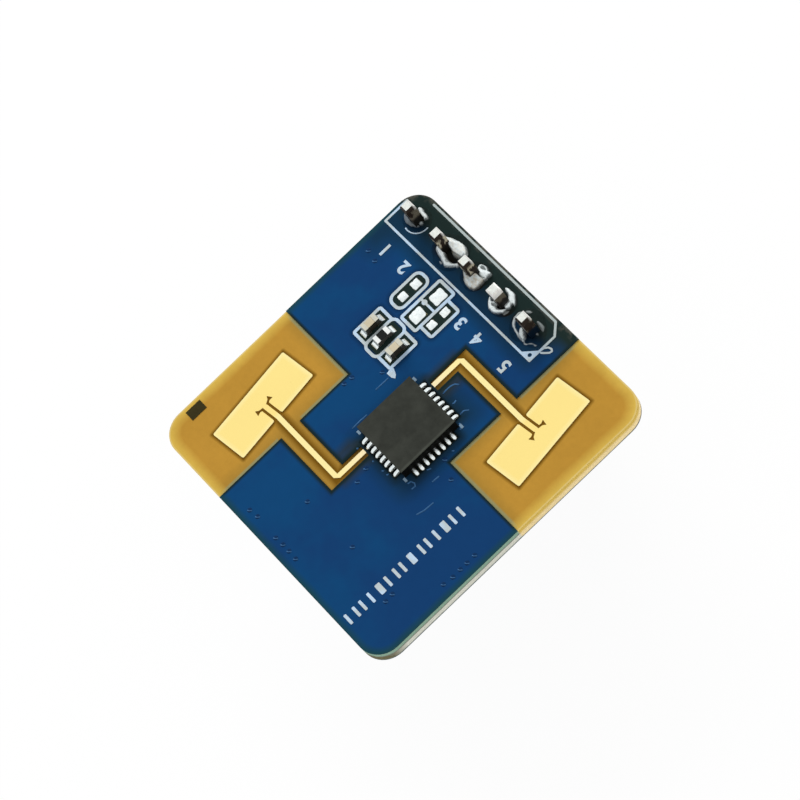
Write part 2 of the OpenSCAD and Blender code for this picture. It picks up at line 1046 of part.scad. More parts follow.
// Solder fills the plated hole and climbs the pin on the front
module header_solder(number) {
    foot = pad_d / 2;
    top = pin_corner_r + solder_wall;
    z = laminate_t + copper_t;
    color(tin_color)
        at_pin(number)
            difference() {
                rotate_extrude($fn = round_fn)
                    polygon([
                        [0, -copper_t], [hole_d / 2, -copper_t], [hole_d / 2, z],
                        [foot - 0.02, z], [foot - 0.04, z + 0.06],
                        [(foot + top) / 2 + 0.04, z + solder_h * 0.3],
                        [top + 0.06, z + solder_h * 0.65],
                        [top, z + solder_h], [0, z + solder_h]
                    ]);
                cube([pin_w, pin_w, 2 * (z + solder_h + past)], center = true);
            }
}

module header_base() {
    half = pin_pitch / 2;
    color(black_color)
        translate([0, 0, -mask_top - base_h])
            difference() {
                for (number = [1 : pin_count])
                    at_pin(number)
                        linear_extrude(base_h)
                            polygon([
                                [-half, -base_w / 2 + base_cut], [-half + base_cut, -base_w / 2],
                                [half - base_cut, -base_w / 2], [half, -base_w / 2 + base_cut],
                                [half, base_w / 2 - base_cut], [half - base_cut, base_w / 2],
                                [-half + base_cut, base_w / 2], [-half, base_w / 2 - base_cut]
                            ]);
                for (number = [1 : pin_count])
                    at_pin(number)
                        translate([-pin_w / 2, -pin_w / 2, -past])
                            cube([pin_w, pin_w, base_h + 2 * past]);
            }
}

// Other back parts

module crystal_place() {
    on_back()
        translate([crystal_x, crystal_y, 0])
            children();
}

module crystal_corners() {
    for (x = [-1, 1], y = [-1, 1])
        translate([x * crystal_len / 2, y * crystal_w / 2, 0])
            mirror([x > 0 ? 1 : 0, 0, 0])
                mirror([0, y > 0 ? 1 : 0, 0])
                    children();
}

module crystal_lands_2d(grow) {
    crystal_corners()
        translate([-crystal_land_in - grow, -crystal_land_in - grow])
            square([crystal_land[0] + 2 * grow, crystal_land[1] + 2 * grow]);
}

module crystal_base() {
    color(ceramic_color)
        crystal_place()
            difference() {
                translate([-crystal_len / 2, -crystal_w / 2, seat_z])
                    cube([crystal_len, crystal_w, crystal_base_h]);
                crystal_corners()
                    translate([0, 0, seat_z - past])
                        cylinder(r = crystal_notch_r, h = crystal_base_h + 2 * past, $fn = ink_fn);
            }
}

module crystal_lid() {
    lid = [crystal_len - 2 * crystal_rim, crystal_w - 2 * crystal_rim];
    color(tin_color)
        crystal_place()
            translate([0, 0, seat_z + crystal_base_h])
                linear_extrude(crystal_lid_h)
                    frame_fill_2d([-lid[0] / 2, -lid[1] / 2, lid[0] / 2, lid[1] / 2, crystal_rim * 1.5], 0);
}

module regulator_place() {
    on_back()
        translate([regulator_x, regulator_y, 0])
            children();
}

// One copy for each lead, with local +Y pointing out of the body
module along_leads() {
    for (x = [-1, 0, 1])
        translate([x * lead_spacing, 0, 0])
            rotate(180)
                translate([0, regulator_w / 2, 0])
                    children();
    for (x = [-1, 1])
        translate([x * lead_spacing, regulator_w / 2, 0])
            children();
}

module regulator_lands_2d(grow) {
    along_leads()
        translate([-lead_w / 2 - grow, lead_out - lead_foot - lead_land_out - grow])
            square([lead_w + 2 * grow, lead_foot + 2 * (lead_land_out + grow)]);
}

module regulator_body() {
    mid = regulator_h / 2;
    color(black_color)
        regulator_place()
            translate([0, 0, seat_z + regulator_lift])
                rotate([90, 0, 90])
                    linear_extrude(regulator_len, center = true)
                        polygon([
                            [-regulator_w / 2 + regulator_draft, 0],
                            [regulator_w / 2 - regulator_draft, 0],
                            [regulator_w / 2, mid], [regulator_w / 2, mid + lead_t],
                            [regulator_w / 2 - regulator_draft, regulator_h],
                            [-regulator_w / 2 + regulator_draft, regulator_h],
                            [-regulator_w / 2, mid + lead_t], [-regulator_w / 2, mid]
                        ]);
}

module regulator_leads() {
    shoulder = regulator_lift + regulator_h / 2;
    knee = lead_out - lead_foot;
    color(tin_color)
        regulator_place()
            along_leads()
                translate([0, 0, seat_z])
                    rotate([90, 0, 90])
                        linear_extrude(lead_w, center = true)
                            polygon([
                                [0, shoulder], [knee - lead_t, shoulder], [knee, 0],
                                [lead_out, 0], [lead_out, lead_t],
                                [knee + lead_t * 0.8, lead_t],
                                [knee - lead_t * 0.2, shoulder + lead_t],
                                [0, shoulder + lead_t]
                            ]);
}

module back_capacitor_bodies() {
    color(ceramic_color)
        on_back() {
            for (place = back_small_capacitors)
                at_place(place)
                    capacitor_body(part_len, part_w, capacitor_h);
            for (place = back_large_capacitors)
                at_place(place)
                    capacitor_body(bulk_len, bulk_w, bulk_h);
        }
}

module back_capacitor_ends() {
    color(tin_color)
        on_back() {
            for (place = back_small_capacitors)
                at_place(place)
                    capacitor_ends(part_len, part_w, capacitor_h);
            for (place = back_large_capacitors)
                at_place(place)
                    capacitor_ends(bulk_len, bulk_w, bulk_h);
        }
}

module at_back_resistors() {
    on_back()
        for (place = back_resistors)
            at_place(place)
                children();
}

module back_resistor_bodies() {
    color(alumina_color)
        at_back_resistors()
            resistor_body();
}

module back_resistor_coats() {
    color(black_color)
        at_back_resistors()
            resistor_coat();
}

module back_resistor_ends() {
    color(tin_color)
        at_back_resistors()
            resistor_ends();
}

module back_part_lands_2d(grow) {
    for (place = concat(back_small_capacitors, back_resistors))
        at_place(place)
            two_lands_2d(part_len, part_w, grow);
    for (place = back_large_capacitors)
        at_place(place)
            two_lands_2d(bulk_len, bulk_w, grow);
    translate([crystal_x, crystal_y])
        crystal_lands_2d(grow);
    translate([regulator_x, regulator_y])
        regulator_lands_2d(grow);
}

module back_part_lands() {
    color(gold_color)
        on_back()
            linear_extrude(copper_t)
                back_part_lands_2d(0);
}

// Fillets of the small parts, and the solder under the crystal and the leads
module back_part_solder() {
    color(tin_color)
        on_back() {
            for (place = back_small_capacitors)
                at_place(place)
                    end_solder(part_len, part_w, capacitor_h);
            for (place = back_resistors)
                at_place(place)
                    end_solder(part_len, part_w, resistor_h);
            for (place = back_large_capacitors)
                at_place(place)
                    end_solder(bulk_len, bulk_w, bulk_h);
            translate([0, 0, copper_t])
                linear_extrude(seat_z - copper_t) {
                    translate([crystal_x, crystal_y])
                        crystal_lands_2d(-fillet_toe);
                    translate([regulator_x, regulator_y])
                        regulator_lands_2d(-fillet_toe);
                }
        }
}

circuit_board();
front_ground_plane();
back_ground_plane();
front_solder_mask();
back_solder_mask();
front_silkscreen();
corner_mark();
antenna(0);  // transmit_antenna
antenna(1);  // receive_antenna
radar_chip_body();
radar_chip_terminals();
radar_chip_lands();
radar_chip_solder();
left_capacitor_body();
left_capacitor_ends();
right_capacitor_body();
right_capacitor_ends();
front_resistor_body();
front_resistor_coat();
front_resistor_ends();
front_part_lands();
front_part_solder();
spare_pads();
plated_hole(1);  // plated_hole_1
plated_hole(2);  // plated_hole_2
plated_hole(3);  // plated_hole_3
plated_hole(4);  // plated_hole_4
plated_hole(5);  // plated_hole_5
header_pin(1);  // header_pin_1
header_pin(2);  // header_pin_2
header_pin(3);  // header_pin_3
header_pin(4);  // header_pin_4
header_pin(5);  // header_pin_5
header_solder(1);  // header_solder_1
header_solder(2);  // header_solder_2
header_solder(3);  // header_solder_3
header_solder(4);  // header_solder_4
header_solder(5);  // header_solder_5
header_base();
controller_body();
controller_terminals();
controller_lands();
controller_solder();
regulator_body();
regulator_leads();
crystal_base();
crystal_lid();
back_capacitor_bodies();
back_capacitor_ends();
back_resistor_bodies();
back_resistor_coats();
back_resistor_ends();
back_part_lands();
back_part_solder();
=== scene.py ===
"""Looks of a small radar sensor board: finishes, solder, printed marks, vias and its studio."""

import json
import math

import bmesh
import bpy
from bpy.props import (
    FloatProperty,
    FloatVectorProperty,
    IntProperty,
    PointerProperty,
)
from mathutils import Matrix, Vector, noise
from mathutils.geometry import interpolate_bezier

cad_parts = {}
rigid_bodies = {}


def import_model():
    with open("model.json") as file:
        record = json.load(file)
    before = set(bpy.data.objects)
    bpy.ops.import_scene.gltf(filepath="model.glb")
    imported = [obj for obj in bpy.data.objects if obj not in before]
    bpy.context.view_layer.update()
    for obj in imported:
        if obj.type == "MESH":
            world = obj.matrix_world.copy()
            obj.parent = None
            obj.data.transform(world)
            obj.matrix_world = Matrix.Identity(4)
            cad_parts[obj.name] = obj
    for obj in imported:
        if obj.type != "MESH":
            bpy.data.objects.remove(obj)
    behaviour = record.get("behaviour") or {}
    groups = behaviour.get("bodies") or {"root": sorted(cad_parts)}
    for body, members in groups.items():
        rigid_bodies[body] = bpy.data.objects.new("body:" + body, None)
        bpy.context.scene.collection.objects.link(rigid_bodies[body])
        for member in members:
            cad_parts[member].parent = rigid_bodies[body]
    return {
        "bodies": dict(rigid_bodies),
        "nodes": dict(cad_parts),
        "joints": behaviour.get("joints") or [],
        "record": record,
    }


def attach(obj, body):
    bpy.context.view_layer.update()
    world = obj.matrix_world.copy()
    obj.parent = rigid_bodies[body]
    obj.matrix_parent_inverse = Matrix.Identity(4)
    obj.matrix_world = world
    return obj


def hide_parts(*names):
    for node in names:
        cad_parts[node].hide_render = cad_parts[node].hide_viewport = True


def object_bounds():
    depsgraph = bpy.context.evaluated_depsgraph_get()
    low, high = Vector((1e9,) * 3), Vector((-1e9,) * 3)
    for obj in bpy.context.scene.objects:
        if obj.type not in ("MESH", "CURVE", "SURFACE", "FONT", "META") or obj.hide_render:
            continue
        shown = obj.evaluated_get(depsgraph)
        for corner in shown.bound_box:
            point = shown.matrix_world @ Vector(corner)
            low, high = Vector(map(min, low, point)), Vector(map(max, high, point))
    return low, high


bl_info = {
    "name": "Radar Sensor Board",
    "version": (1, 0, 0),
    "blender": (4, 5, 0),
    "location": "View3D > Sidebar > Radar Board",
    "description": "Dresses a packed radar sensor board with finishes, solder, print and a studio",
    "category": "Object",
}

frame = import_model()
CAD_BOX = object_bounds()
NODES = frame["nodes"]
MM = 0.001

# Places on the front in millimetres, as in the part's source
ARTWORK = (-0.05, 0.07)
MASK_TOP = 0.86
PIN_X = (-8.33, -5.79, -3.25, -0.71, 1.83)
PIN_Y = 8.55
PIN_HALF = 0.32
CHIP_X = 1.02
PATCH = (6.57, 4.82)
PATCH_HALF = (1.235, 3.0)
PATCH_TURN = 7.2
FEED_Y = 4.665
FEED_ENTRY = 5.345
FEED_X = (0.02, -0.02)
FEED_HALF = 0.16
WINDOW = (4.2, 0.28)
CHANNELS = (((-0.57, 0.59), (-0.25, 0.44)), ((-0.68, 0.7), (-0.38, 0.36)))


def srgb(red, green, blue):
    """The linear colour of an 8-bit screen colour."""

    def linear(value):
        value /= 255
        if value <= 0.04045:
            return value / 12.92
        return ((value + 0.055) / 1.055) ** 2.4

    return (linear(red), linear(green), linear(blue))


def colour(name, description, red, green, blue):
    return FloatVectorProperty(
        name=name,
        description=description,
        default=srgb(red, green, blue),
        subtype="COLOR",
        size=3,
        min=0,
        max=1,
    )


def length(name, description, millimetres):
    return FloatProperty(
        name=name,
        description=description,
        default=millimetres * MM,
        min=0,
        unit="LENGTH",
        precision=6,
    )


class RadarBoardSettings(bpy.types.PropertyGroup):
    mask_blue: colour("Mask", "Solder mask over copper", 17, 67, 113)
    mask_deep: colour("Deep mask", "Darker patches of the solder mask", 20, 60, 107)
    # Dusky mask: a darker tone round the header, and painted shade round the radar chip
    mask_dusk: colour("Dusky mask", "Solder mask round the header and the radar chip", 21, 50, 73)
    mask_bare: colour("Bare mask", "Solder mask over bare laminate", 30, 44, 42)
    mask_edge: colour("Mask edge", "Solder mask along the board's edge", 28, 66, 76)
    mask_worn: colour("Worn mask edge", "Solder mask along the edge past the pins", 84, 84, 76)
    mask_shade: colour("Mask shade", "Solder mask inside the bends of the feed lines", 44, 50, 47)
    # Painted shade on the mask along the antenna windows and their channels, and round the radar chip's
    # lands
    mask_edge_shade: colour("Mask lip", "Solder mask along the antenna windows", 24, 40, 42)
    mask_navy: colour("Navy mask", "Solder mask beside the printed outlines", 12, 40, 70)
    # Painted shadow of the radar chip on the mask between its lands, which has no copper beneath
    mask_chip_shadow: colour("Black mask", "Solder mask between the radar chip's lands", 10, 16, 16)
    tan: colour("Laminate", "Bare laminate in the antenna windows", 184, 138, 54)
    shade: colour("Laminate shade", "Laminate near the mask's edge", 160, 124, 52)
    olive: colour("Laminate seam", "Laminate at the foot of the mask's edge", 146, 142, 100)
    # Painted shadow on the laminate beside the antennas and the feed lines
    shadow_by_copper: colour("Laminate by copper", "Laminate beside the antennas", 110, 76, 14)
    # Painted shade on the laminate beside the ends of the feed lines, by the radar chip
    shade_by_chip: colour("Laminate by the chip", "Laminate beside the ends of the feed lines", 76, 58, 24)
    pale: colour("Laminate rim", "Laminate along the board's edge", 212, 178, 80)
    cream: colour("Laminate corner", "Laminate at the board's outermost edge", 226, 214, 170)
    cut_edge: colour("Cut edge", "Lower part of the board's side", 226, 226, 212)
    cut_teal: colour("Cut edge, upper part", "Upper part of the board's side", 146, 178, 156)
    cut_line: colour("Cut edge line", "Line along the side of the board", 128, 134, 122)
    cut_yellow: colour("Bare cut edge", "Upper part of the board's side at the windows", 226, 192, 96)
    cut_cream: colour("Bare cut edge, lower part", "Lower part of that side", 255, 230, 172)
    cut_olive: colour("Corner cut edge", "Lower part of the side at one corner", 112, 106, 78)
    ink: colour("Light ink", "Printed outlines and marks", 188, 211, 232)
    ink_grey: colour("Grey ink", "Worn parts of the light ink", 188, 195, 192)
    ink_worn: colour("Worn ink", "Light ink past the pin row", 176, 187, 186)
    ink_tick: colour("Tick ink", "Ticks at the radar chip's corners", 108, 136, 158)
    ink_dark: colour("Dark ink", "Printed mark in the corner", 50, 44, 18)


class RadarMetalSettings(bpy.types.PropertyGroup):
    gold: colour("Gold", "Antennas", 255, 232, 148)
    gold_edge: colour("Gold edge", "Feed lines and rim of the antennas", 255, 240, 172)
    gold_pale: colour("Pale gold", "Ends of the feed lines at the radar chip", 255, 238, 208)
    land: colour("Tinned land", "Lands under the chips and small parts", 214, 214, 204)
    plating: colour("Plating", "Plated holes", 222, 196, 120)
    copper: colour("Copper", "Ground planes", 190, 120, 80)
    tin: colour("Tin", "Terminals and metal ends", 240, 243, 240)
    solder: colour("Solder", "Soldered joints", 246, 255, 255)
    tan_solder: colour("Stained solder", "Joints stained by flux", 206, 192, 166)
    # Flux with painted shade round the header's joints, in three tones
    flux: colour("Flux", "Residue beside the pins", 12, 27, 42)
    flux_rim: colour("Thin flux", "Residue on the near side of the joints", 19, 44, 66)
    flux_far: colour("Far flux", "Residue on the far side of the joints", 32, 42, 40)
    pin: colour("Pins", "Header pins", 228, 232, 226)
    # Painted highlight on the upper part of the header pins' sides
    pin_highlight: colour("Lit pin side", "Clean part of a header pin's side", 255, 255, 250)
    # Painted shade on the sides of the header pins
    pin_side_shade: colour("Tarnish", "Dull sides of the header pins", 44, 36, 30)
    streak: colour("Streak", "Stained streaks on the header pins", 204, 196, 170)
    # Painted shade at the foot of the header pins and beside pins 2 to 4
    pin_foot_shade: colour("Soot", "Foot of the header pins", 28, 27, 24)


class RadarPartSettings(bpy.types.PropertyGroup):
    mould: colour("Moulding", "Chip bodies", 54, 56, 51)
    # Painted highlight along the radar chip's +X edge
    mould_edge_highlight: colour("Moulding lip", "Band along one edge of the radar chip", 82, 86, 78)
    ceramic: colour("Tan ceramic", "Capacitor bodies", 204, 193, 166)
    cap_end: colour("Capacitor ends", "Metal ends of the capacitors", 204, 202, 186)
    alumina: colour("Alumina", "Resistor bodies", 226, 224, 214)
    coat: colour("Coat", "Resistor coats", 26, 28, 27)
    header: colour("Header plastic", "Insulator of the header", 26, 26, 28)
    crystal: colour("Crystal ceramic", "Base of the crystal", 120, 108, 92)
    lid: colour("Crystal lid", "Metal lid of the crystal", 214, 206, 180)


class RadarSolderSettings(bpy.types.PropertyGroup):
    foot: length("Foot", "Least radius of a joint at the board", 0.85)
    uneven: FloatProperty(
        name="Unevenness",
        description="Share by which the outline of a blob of solder varies",
        default=0.14,
        min=0,
        max=0.4,
        subtype="FACTOR",
    )
    steps: IntProperty(
        name="Steps", description="Faces round a joint", default=112, min=24, max=160
    )
    rings: IntProperty(
        name="Rings", description="Faces from a joint's foot to its pin", default=30, min=8, max=60
    )
    pad: length("Pad height", "Height of the solder on the spare pads", 0.05)


class RadarMarkSettings(bpy.types.PropertyGroup):
    digit: length("Digit height", "Height of the pin numbers", 0.76)
    stroke: length("Stroke", "Extra weight of the pin numbers", 0.034)
    ink: length("Ink", "Thickness of the print", 0.02)
    bar: length("Bar height", "Height of the printed bars", 0.72)
    line: length("Line width", "Width of the printed arcs", 0.08)


class RadarReliefSettings(bpy.types.PropertyGroup):
    via: length("Via radius", "Radius of a via's tent", 0.15)
    rise: length("Via rise", "Height of a via's tent", 0.03)
    trace: length("Trace width", "Width of the raised traces", 0.09)
    # Lighter colour of the raised traces and of the painted glints beside the vias
    lit: colour("Relief", "Raised lines of the mask", 60, 100, 142)
    dark: colour("Via", "Tents over the vias", 14, 46, 84)


class RadarStageSettings(bpy.types.PropertyGroup):
    lens: FloatProperty(
        name="Lens", description="Focal length", default=178.72, unit="CAMERA"
    )
    floor: colour("Floor", "Floor and backdrop", 250, 250, 250)
    sky: FloatProperty(
        name="Sky", description="Light from all round", default=0.66, min=0
    )
    key: FloatProperty(
        name="Key", description="Power of the key light", default=2.4, unit="POWER", min=0
    )
    fill: FloatProperty(
        name="Fill", description="Power of the fill light", default=0.15, unit="POWER", min=0
    )


def settings():
    """The settings of the scene in use."""
    return bpy.context.scene


def rgba(value):
    return (value[0], value[1], value[2], 1)


class Finish:
    """A node material that is being put together."""

    def __init__(self, name, roughness=0.5, metallic=0.0, specular=0.5):
        self.material = bpy.data.materials.new(name)
        self.material.use_nodes = True
        self.tree = self.material.node_tree
        self.shader = self.tree.nodes["Principled BSDF"]
        self.shader.inputs["Roughness"].default_value = roughness
        self.shader.inputs["Metallic"].default_value = metallic
        self.shader.inputs["Specular IOR Level"].default_value = specular
        self.place = self.node("ShaderNodeTexCoord").outputs["Object"]

    def node(self, kind, **values):
        """A node with its properties set by name."""
        made = self.tree.nodes.new(kind)
        for name, value in values.items():
            setattr(made, name, value)
        return made

    def feed(self, socket, value):
        """A link from an output, or a plain value."""
        if isinstance(value, bpy.types.NodeSocket):
            self.tree.links.new(value, socket)
        else:
            socket.default_value = value

    def group(self, tree, **values):
        """A copy of a shared effect, with its inputs set by name."""
        made = self.node("ShaderNodeGroup", node_tree=tree)
        for name, value in values.items():
            self.feed(made.inputs[name.replace("_", " ")], value)
        return made.outputs

    def maths(self, operation, *values):
        made = self.node("ShaderNodeMath", operation=operation)
        for socket, value in zip(made.inputs, values):
            self.feed(socket, value)
        return made.outputs[0]

    def mix(self, factor, first, second, blend="MIX"):
        made = self.node("ShaderNodeMix", data_type="RGBA", blend_type=blend)
        self.feed(made.inputs["Factor"], factor)
        self.feed(made.inputs[6], first)
        self.feed(made.inputs[7], second)
        return made.outputs[2]

    def span(self, value, low, high, start=0.0, end=1.0):
        """The value carried from one range to another, with soft ends."""
        made = self.node("ShaderNodeMapRange", interpolation_type="SMOOTHSTEP")
        for name, number in (
            ("Value", value),
            ("From Min", low),
            ("From Max", high),
            ("To Min", start),
            ("To Max", end),
        ):
            self.feed(made.inputs[name], number)
        return made.outputs[0]

    def split(self, vector):
        made = self.node("ShaderNodeSeparateXYZ")
        self.feed(made.inputs[0], vector)
        return made.outputs

    def upright(self):
        """1 on faces that stand upright, and 0 on level ones."""
        geometry = self.node("ShaderNodeNewGeometry")
        tilt = self.maths("ABSOLUTE", self.split(geometry.outputs["Normal"])["Z"])
        return self.maths("LESS_THAN", tilt, 0.5)

    def facing_x(self):
        """1 on faces that look to +X."""
        geometry = self.node("ShaderNodeNewGeometry")
        return self.maths("GREATER_THAN", self.split(geometry.outputs["Normal"])["X"], 0.5)

    def regions(self, boxes, soft=0.05, place=None):
        """1 inside any of the boxes: centre X and Y, half sizes X and Y, corner radius, in millimetres."""
        found = None
        for x, y, half_x, half_y, radius in boxes:
            inside = self.group(
                region_effect(),
                Vector=place or self.place,
                Centre=(x * MM, y * MM, 0),
                Half_Size=(half_x * MM, half_y * MM, 0),
                Radius=radius * MM,
                Soft=soft * MM,
            )["Mask"]
            found = inside if found is None else self.maths("MAXIMUM", found, inside)
        return found

    def wobble(self, reach, scale):
        """The place, pushed about by up to so many millimetres."""
        cloud = self.node("ShaderNodeTexNoise")
        cloud.inputs["Scale"].default_value = scale
        cloud.inputs["Detail"].default_value = 3
        self.feed(cloud.inputs["Vector"], self.place)
        start = self.node("ShaderNodeVectorMath", operation="SUBTRACT")
        self.feed(start.inputs[0], self.place)
        start.inputs[1].default_value = [reach * MM] * 3
        pushed = self.node("ShaderNodeVectorMath", operation="MULTIPLY_ADD")
        self.feed(pushed.inputs[0], cloud.outputs["Color"])
        pushed.inputs[1].default_value = [2 * reach * MM] * 3
        self.feed(pushed.inputs[2], start.outputs[0])
        return pushed.outputs[0]

    def patch_region(self, side, grow, soft):
        """1 inside one of the turned antenna patches, grown by a margin in millimetres."""
        way = -1 if side else 1
        turned = self.node("ShaderNodeMapping", vector_type="TEXTURE")
        centre = (way * PATCH[0] + ARTWORK[0], way * PATCH[1] + ARTWORK[1])
        turned.inputs["Location"].default_value = (centre[0] * MM, centre[1] * MM, 0)
        turned.inputs["Rotation"].default_value = (0, 0, math.radians(PATCH_TURN))
        self.feed(turned.inputs["Vector"], self.place)
        box = (0, 0, PATCH_HALF[0] + grow, PATCH_HALF[1] + grow, 0.1)
        return self.regions([box], soft, turned.outputs[0])

    def grain(self, scale, contrast, relief=0.0, place=None):
        return self.group(
            grain_effect(),
            Vector=place or self.place,
            Scale=float(scale),
            Contrast=float(contrast),
            Relief=float(relief),
        )

    def bump(self, height, distance=0.00002, strength=1.0):
        made = self.node("ShaderNodeBump")
        made.inputs["Distance"].default_value = distance
        made.inputs["Strength"].default_value = strength
        self.feed(made.inputs["Height"], height)
        self.feed(self.shader.inputs["Normal"], made.outputs[0])

    def paint(self, value, tone=None):
        """The base colour, multiplied by a tone where one is given."""
        if tone is not None:
            scaled = self.node("ShaderNodeVectorMath", operation="SCALE")
            plain = not isinstance(value, bpy.types.NodeSocket)
            self.feed(scaled.inputs[0], value[:3] if plain else value)
            self.feed(scaled.inputs["Scale"], tone)
            value = scaled.outputs[0]
        self.feed(self.shader.inputs["Base Color"], value)
        return self.material


class Effect:
    """A node group that is being put together."""

    def __init__(self, name, inputs, outputs):
        self.tree = bpy.data.node_groups.new(name, "ShaderNodeTree")
        for label, kind in inputs:
            self.tree.interface.new_socket(label, in_out="INPUT", socket_type=kind)
        for label, kind in outputs:
            self.tree.interface.new_socket(label, in_out="OUTPUT", socket_type=kind)
        self.inputs = self.tree.nodes.new("NodeGroupInput").outputs
        self.outputs = self.tree.nodes.new("NodeGroupOutput").inputs

    def step(self, kind, operation, *values):
        """A maths node, with its first output."""
        made = self.tree.nodes.new(kind)
        made.operation = operation
        for socket, value in zip(made.inputs, values):
            self.feed(socket, value)
        return made.outputs

    def feed(self, socket, value):
        if isinstance(value, bpy.types.NodeSocket):
            self.tree.links.new(value, socket)
        else:
            socket.default_value = value


def region_effect():
    """A rounded box seen from above, with soft edges."""
    name = "Board Region"
    if name in bpy.data.node_groups:
        return bpy.data.node_groups[name]
    effect = Effect(
        name,
        [
            ("Vector", "NodeSocketVector"),
            ("Centre", "NodeSocketVector"),
            ("Half Size", "NodeSocketVector"),
            ("Radius", "NodeSocketFloat"),
            ("Soft", "NodeSocketFloat"),
        ],
        [("Mask", "NodeSocketFloat")],
    )
    given = effect.inputs
    vector = "ShaderNodeVectorMath"
    away = effect.step(vector, "SUBTRACT", given["Vector"], given["Centre"])[0]
    away = effect.step(vector, "ABSOLUTE", away)[0]
    away = effect.step(vector, "SUBTRACT", away, given["Half Size"])[0]
    away = effect.step(vector, "ADD", away, given["Radius"])[0]
    away = effect.step(vector, "MULTIPLY", away, (1, 1, 0))[0]
    apart = effect.tree.nodes.new("ShaderNodeSeparateXYZ")
    effect.feed(apart.inputs[0], away)
    inside = effect.step("ShaderNodeMath", "MAXIMUM", apart.outputs[0], apart.outputs[1])[0]
    inside = effect.step("ShaderNodeMath", "MINIMUM", inside, 0.0)[0]
    away = effect.step(vector, "MAXIMUM", away, (0, 0, 0))[0]
    distance = effect.step(vector, "LENGTH", away)["Value"]
    distance = effect.step("ShaderNodeMath", "ADD", distance, inside)[0]
    distance = effect.step("ShaderNodeMath", "SUBTRACT", distance, given["Radius"])[0]
    share = effect.step("ShaderNodeMath", "DIVIDE", distance, given["Soft"])[0]
    share = effect.step("ShaderNodeMath", "MULTIPLY_ADD", share, -0.5, 0.5)
    share[0].node.use_clamp = True
    effect.feed(effect.outputs["Mask"], share[0])
    return effect.tree


def grain_effect():
    """Uneven tone and relief of a surface."""
    name = "Surface Grain"
    if name in bpy.data.node_groups:
        return bpy.data.node_groups[name]
    effect = Effect(
        name,
        [
            ("Vector", "NodeSocketVector"),
            ("Scale", "NodeSocketFloat"),
            ("Contrast", "NodeSocketFloat"),
            ("Relief", "NodeSocketFloat"),
        ],
        [("Tone", "NodeSocketFloat"), ("Height", "NodeSocketFloat"), ("Noise", "NodeSocketFloat")],
    )
    given = effect.inputs
    speckle = effect.tree.nodes.new("ShaderNodeTexNoise")
    speckle.inputs["Detail"].default_value = 4
    speckle.inputs["Roughness"].default_value = 0.6
    effect.feed(speckle.inputs["Vector"], given["Vector"])
    effect.feed(speckle.inputs["Scale"], given["Scale"])
    value = speckle.outputs["Fac"]
    centred = effect.step("ShaderNodeMath", "SUBTRACT", value, 0.5)[0]
    tone = effect.step("ShaderNodeMath", "MULTIPLY_ADD", centred, given["Contrast"], 1.0)[0]
    height = effect.step("ShaderNodeMath", "MULTIPLY", value, given["Relief"])[0]
    effect.feed(effect.outputs["Tone"], tone)
    effect.feed(effect.outputs["Height"], height)
    effect.feed(effect.outputs["Noise"], value)
    return effect.tree


def front_box(left, bottom, right, top, radius=0.05):
    """A region of the artwork, from its sides in artwork millimetres."""
    return (
        (left + right) / 2 + ARTWORK[0],
        (bottom + top) / 2 + ARTWORK[1],
        (right - left) / 2,
        (top - bottom) / 2,
        radius,
    )


def turned_box(box):
    """The same region turned half round the artwork's centre."""
    return (2 * ARTWORK[0] - box[0], 2 * ARTWORK[1] - box[1], box[2], box[3], box[4])


def window_boxes(grow, along=None):
    """Regions of the two antenna windows and the channels of their feed lines, grown by margins."""
    x, y = WINDOW
    boxes = []
    along = grow if along is None else along
    for turned, (arm, leg) in enumerate(CHANNELS):
        feed_x = FEED_X[turned]
        found = [
            front_box(x - grow, y - grow, x + 9, y + 14),
            front_box(
                feed_x + leg[0] - along, FEED_Y + arm[0] - along, x + 2, FEED_Y + arm[1] + along
            ),
            front_box(feed_x + leg[0] - along, 2.57, feed_x + leg[1] + along, FEED_Y),
        ]
        boxes += [turned_box(box) for box in found] if turned else found
    return boxes


def feed_boxes(grow):
    """Regions of the two feed lines, grown by a margin."""
    half = FEED_HALF + grow
    boxes = []
    for turned, feed_x in enumerate(FEED_X):
        found = [
            front_box(feed_x - half, FEED_Y - half, FEED_ENTRY, FEED_Y + half),
            front_box(feed_x - half, 2, feed_x + half, FEED_Y + half),
        ]
        boxes += [turned_box(box) for box in found] if turned else found
    return boxes


def dress(material, *names):
    """Gives CAD nodes their finish."""
    for name in names:
        slots = NODES[name].data.materials
        slots.clear()
        slots.append(material)


def add_piece(name, mesh, material, replaced=()):
    """A new piece of the board, which rides with it."""
    piece = bpy.data.objects.new(name, mesh)
    bpy.context.scene.collection.objects.link(piece)
    mesh.materials.clear()
    mesh.materials.append(material)
    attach(piece, "root")
    if replaced:
        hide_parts(*replaced)
    return piece


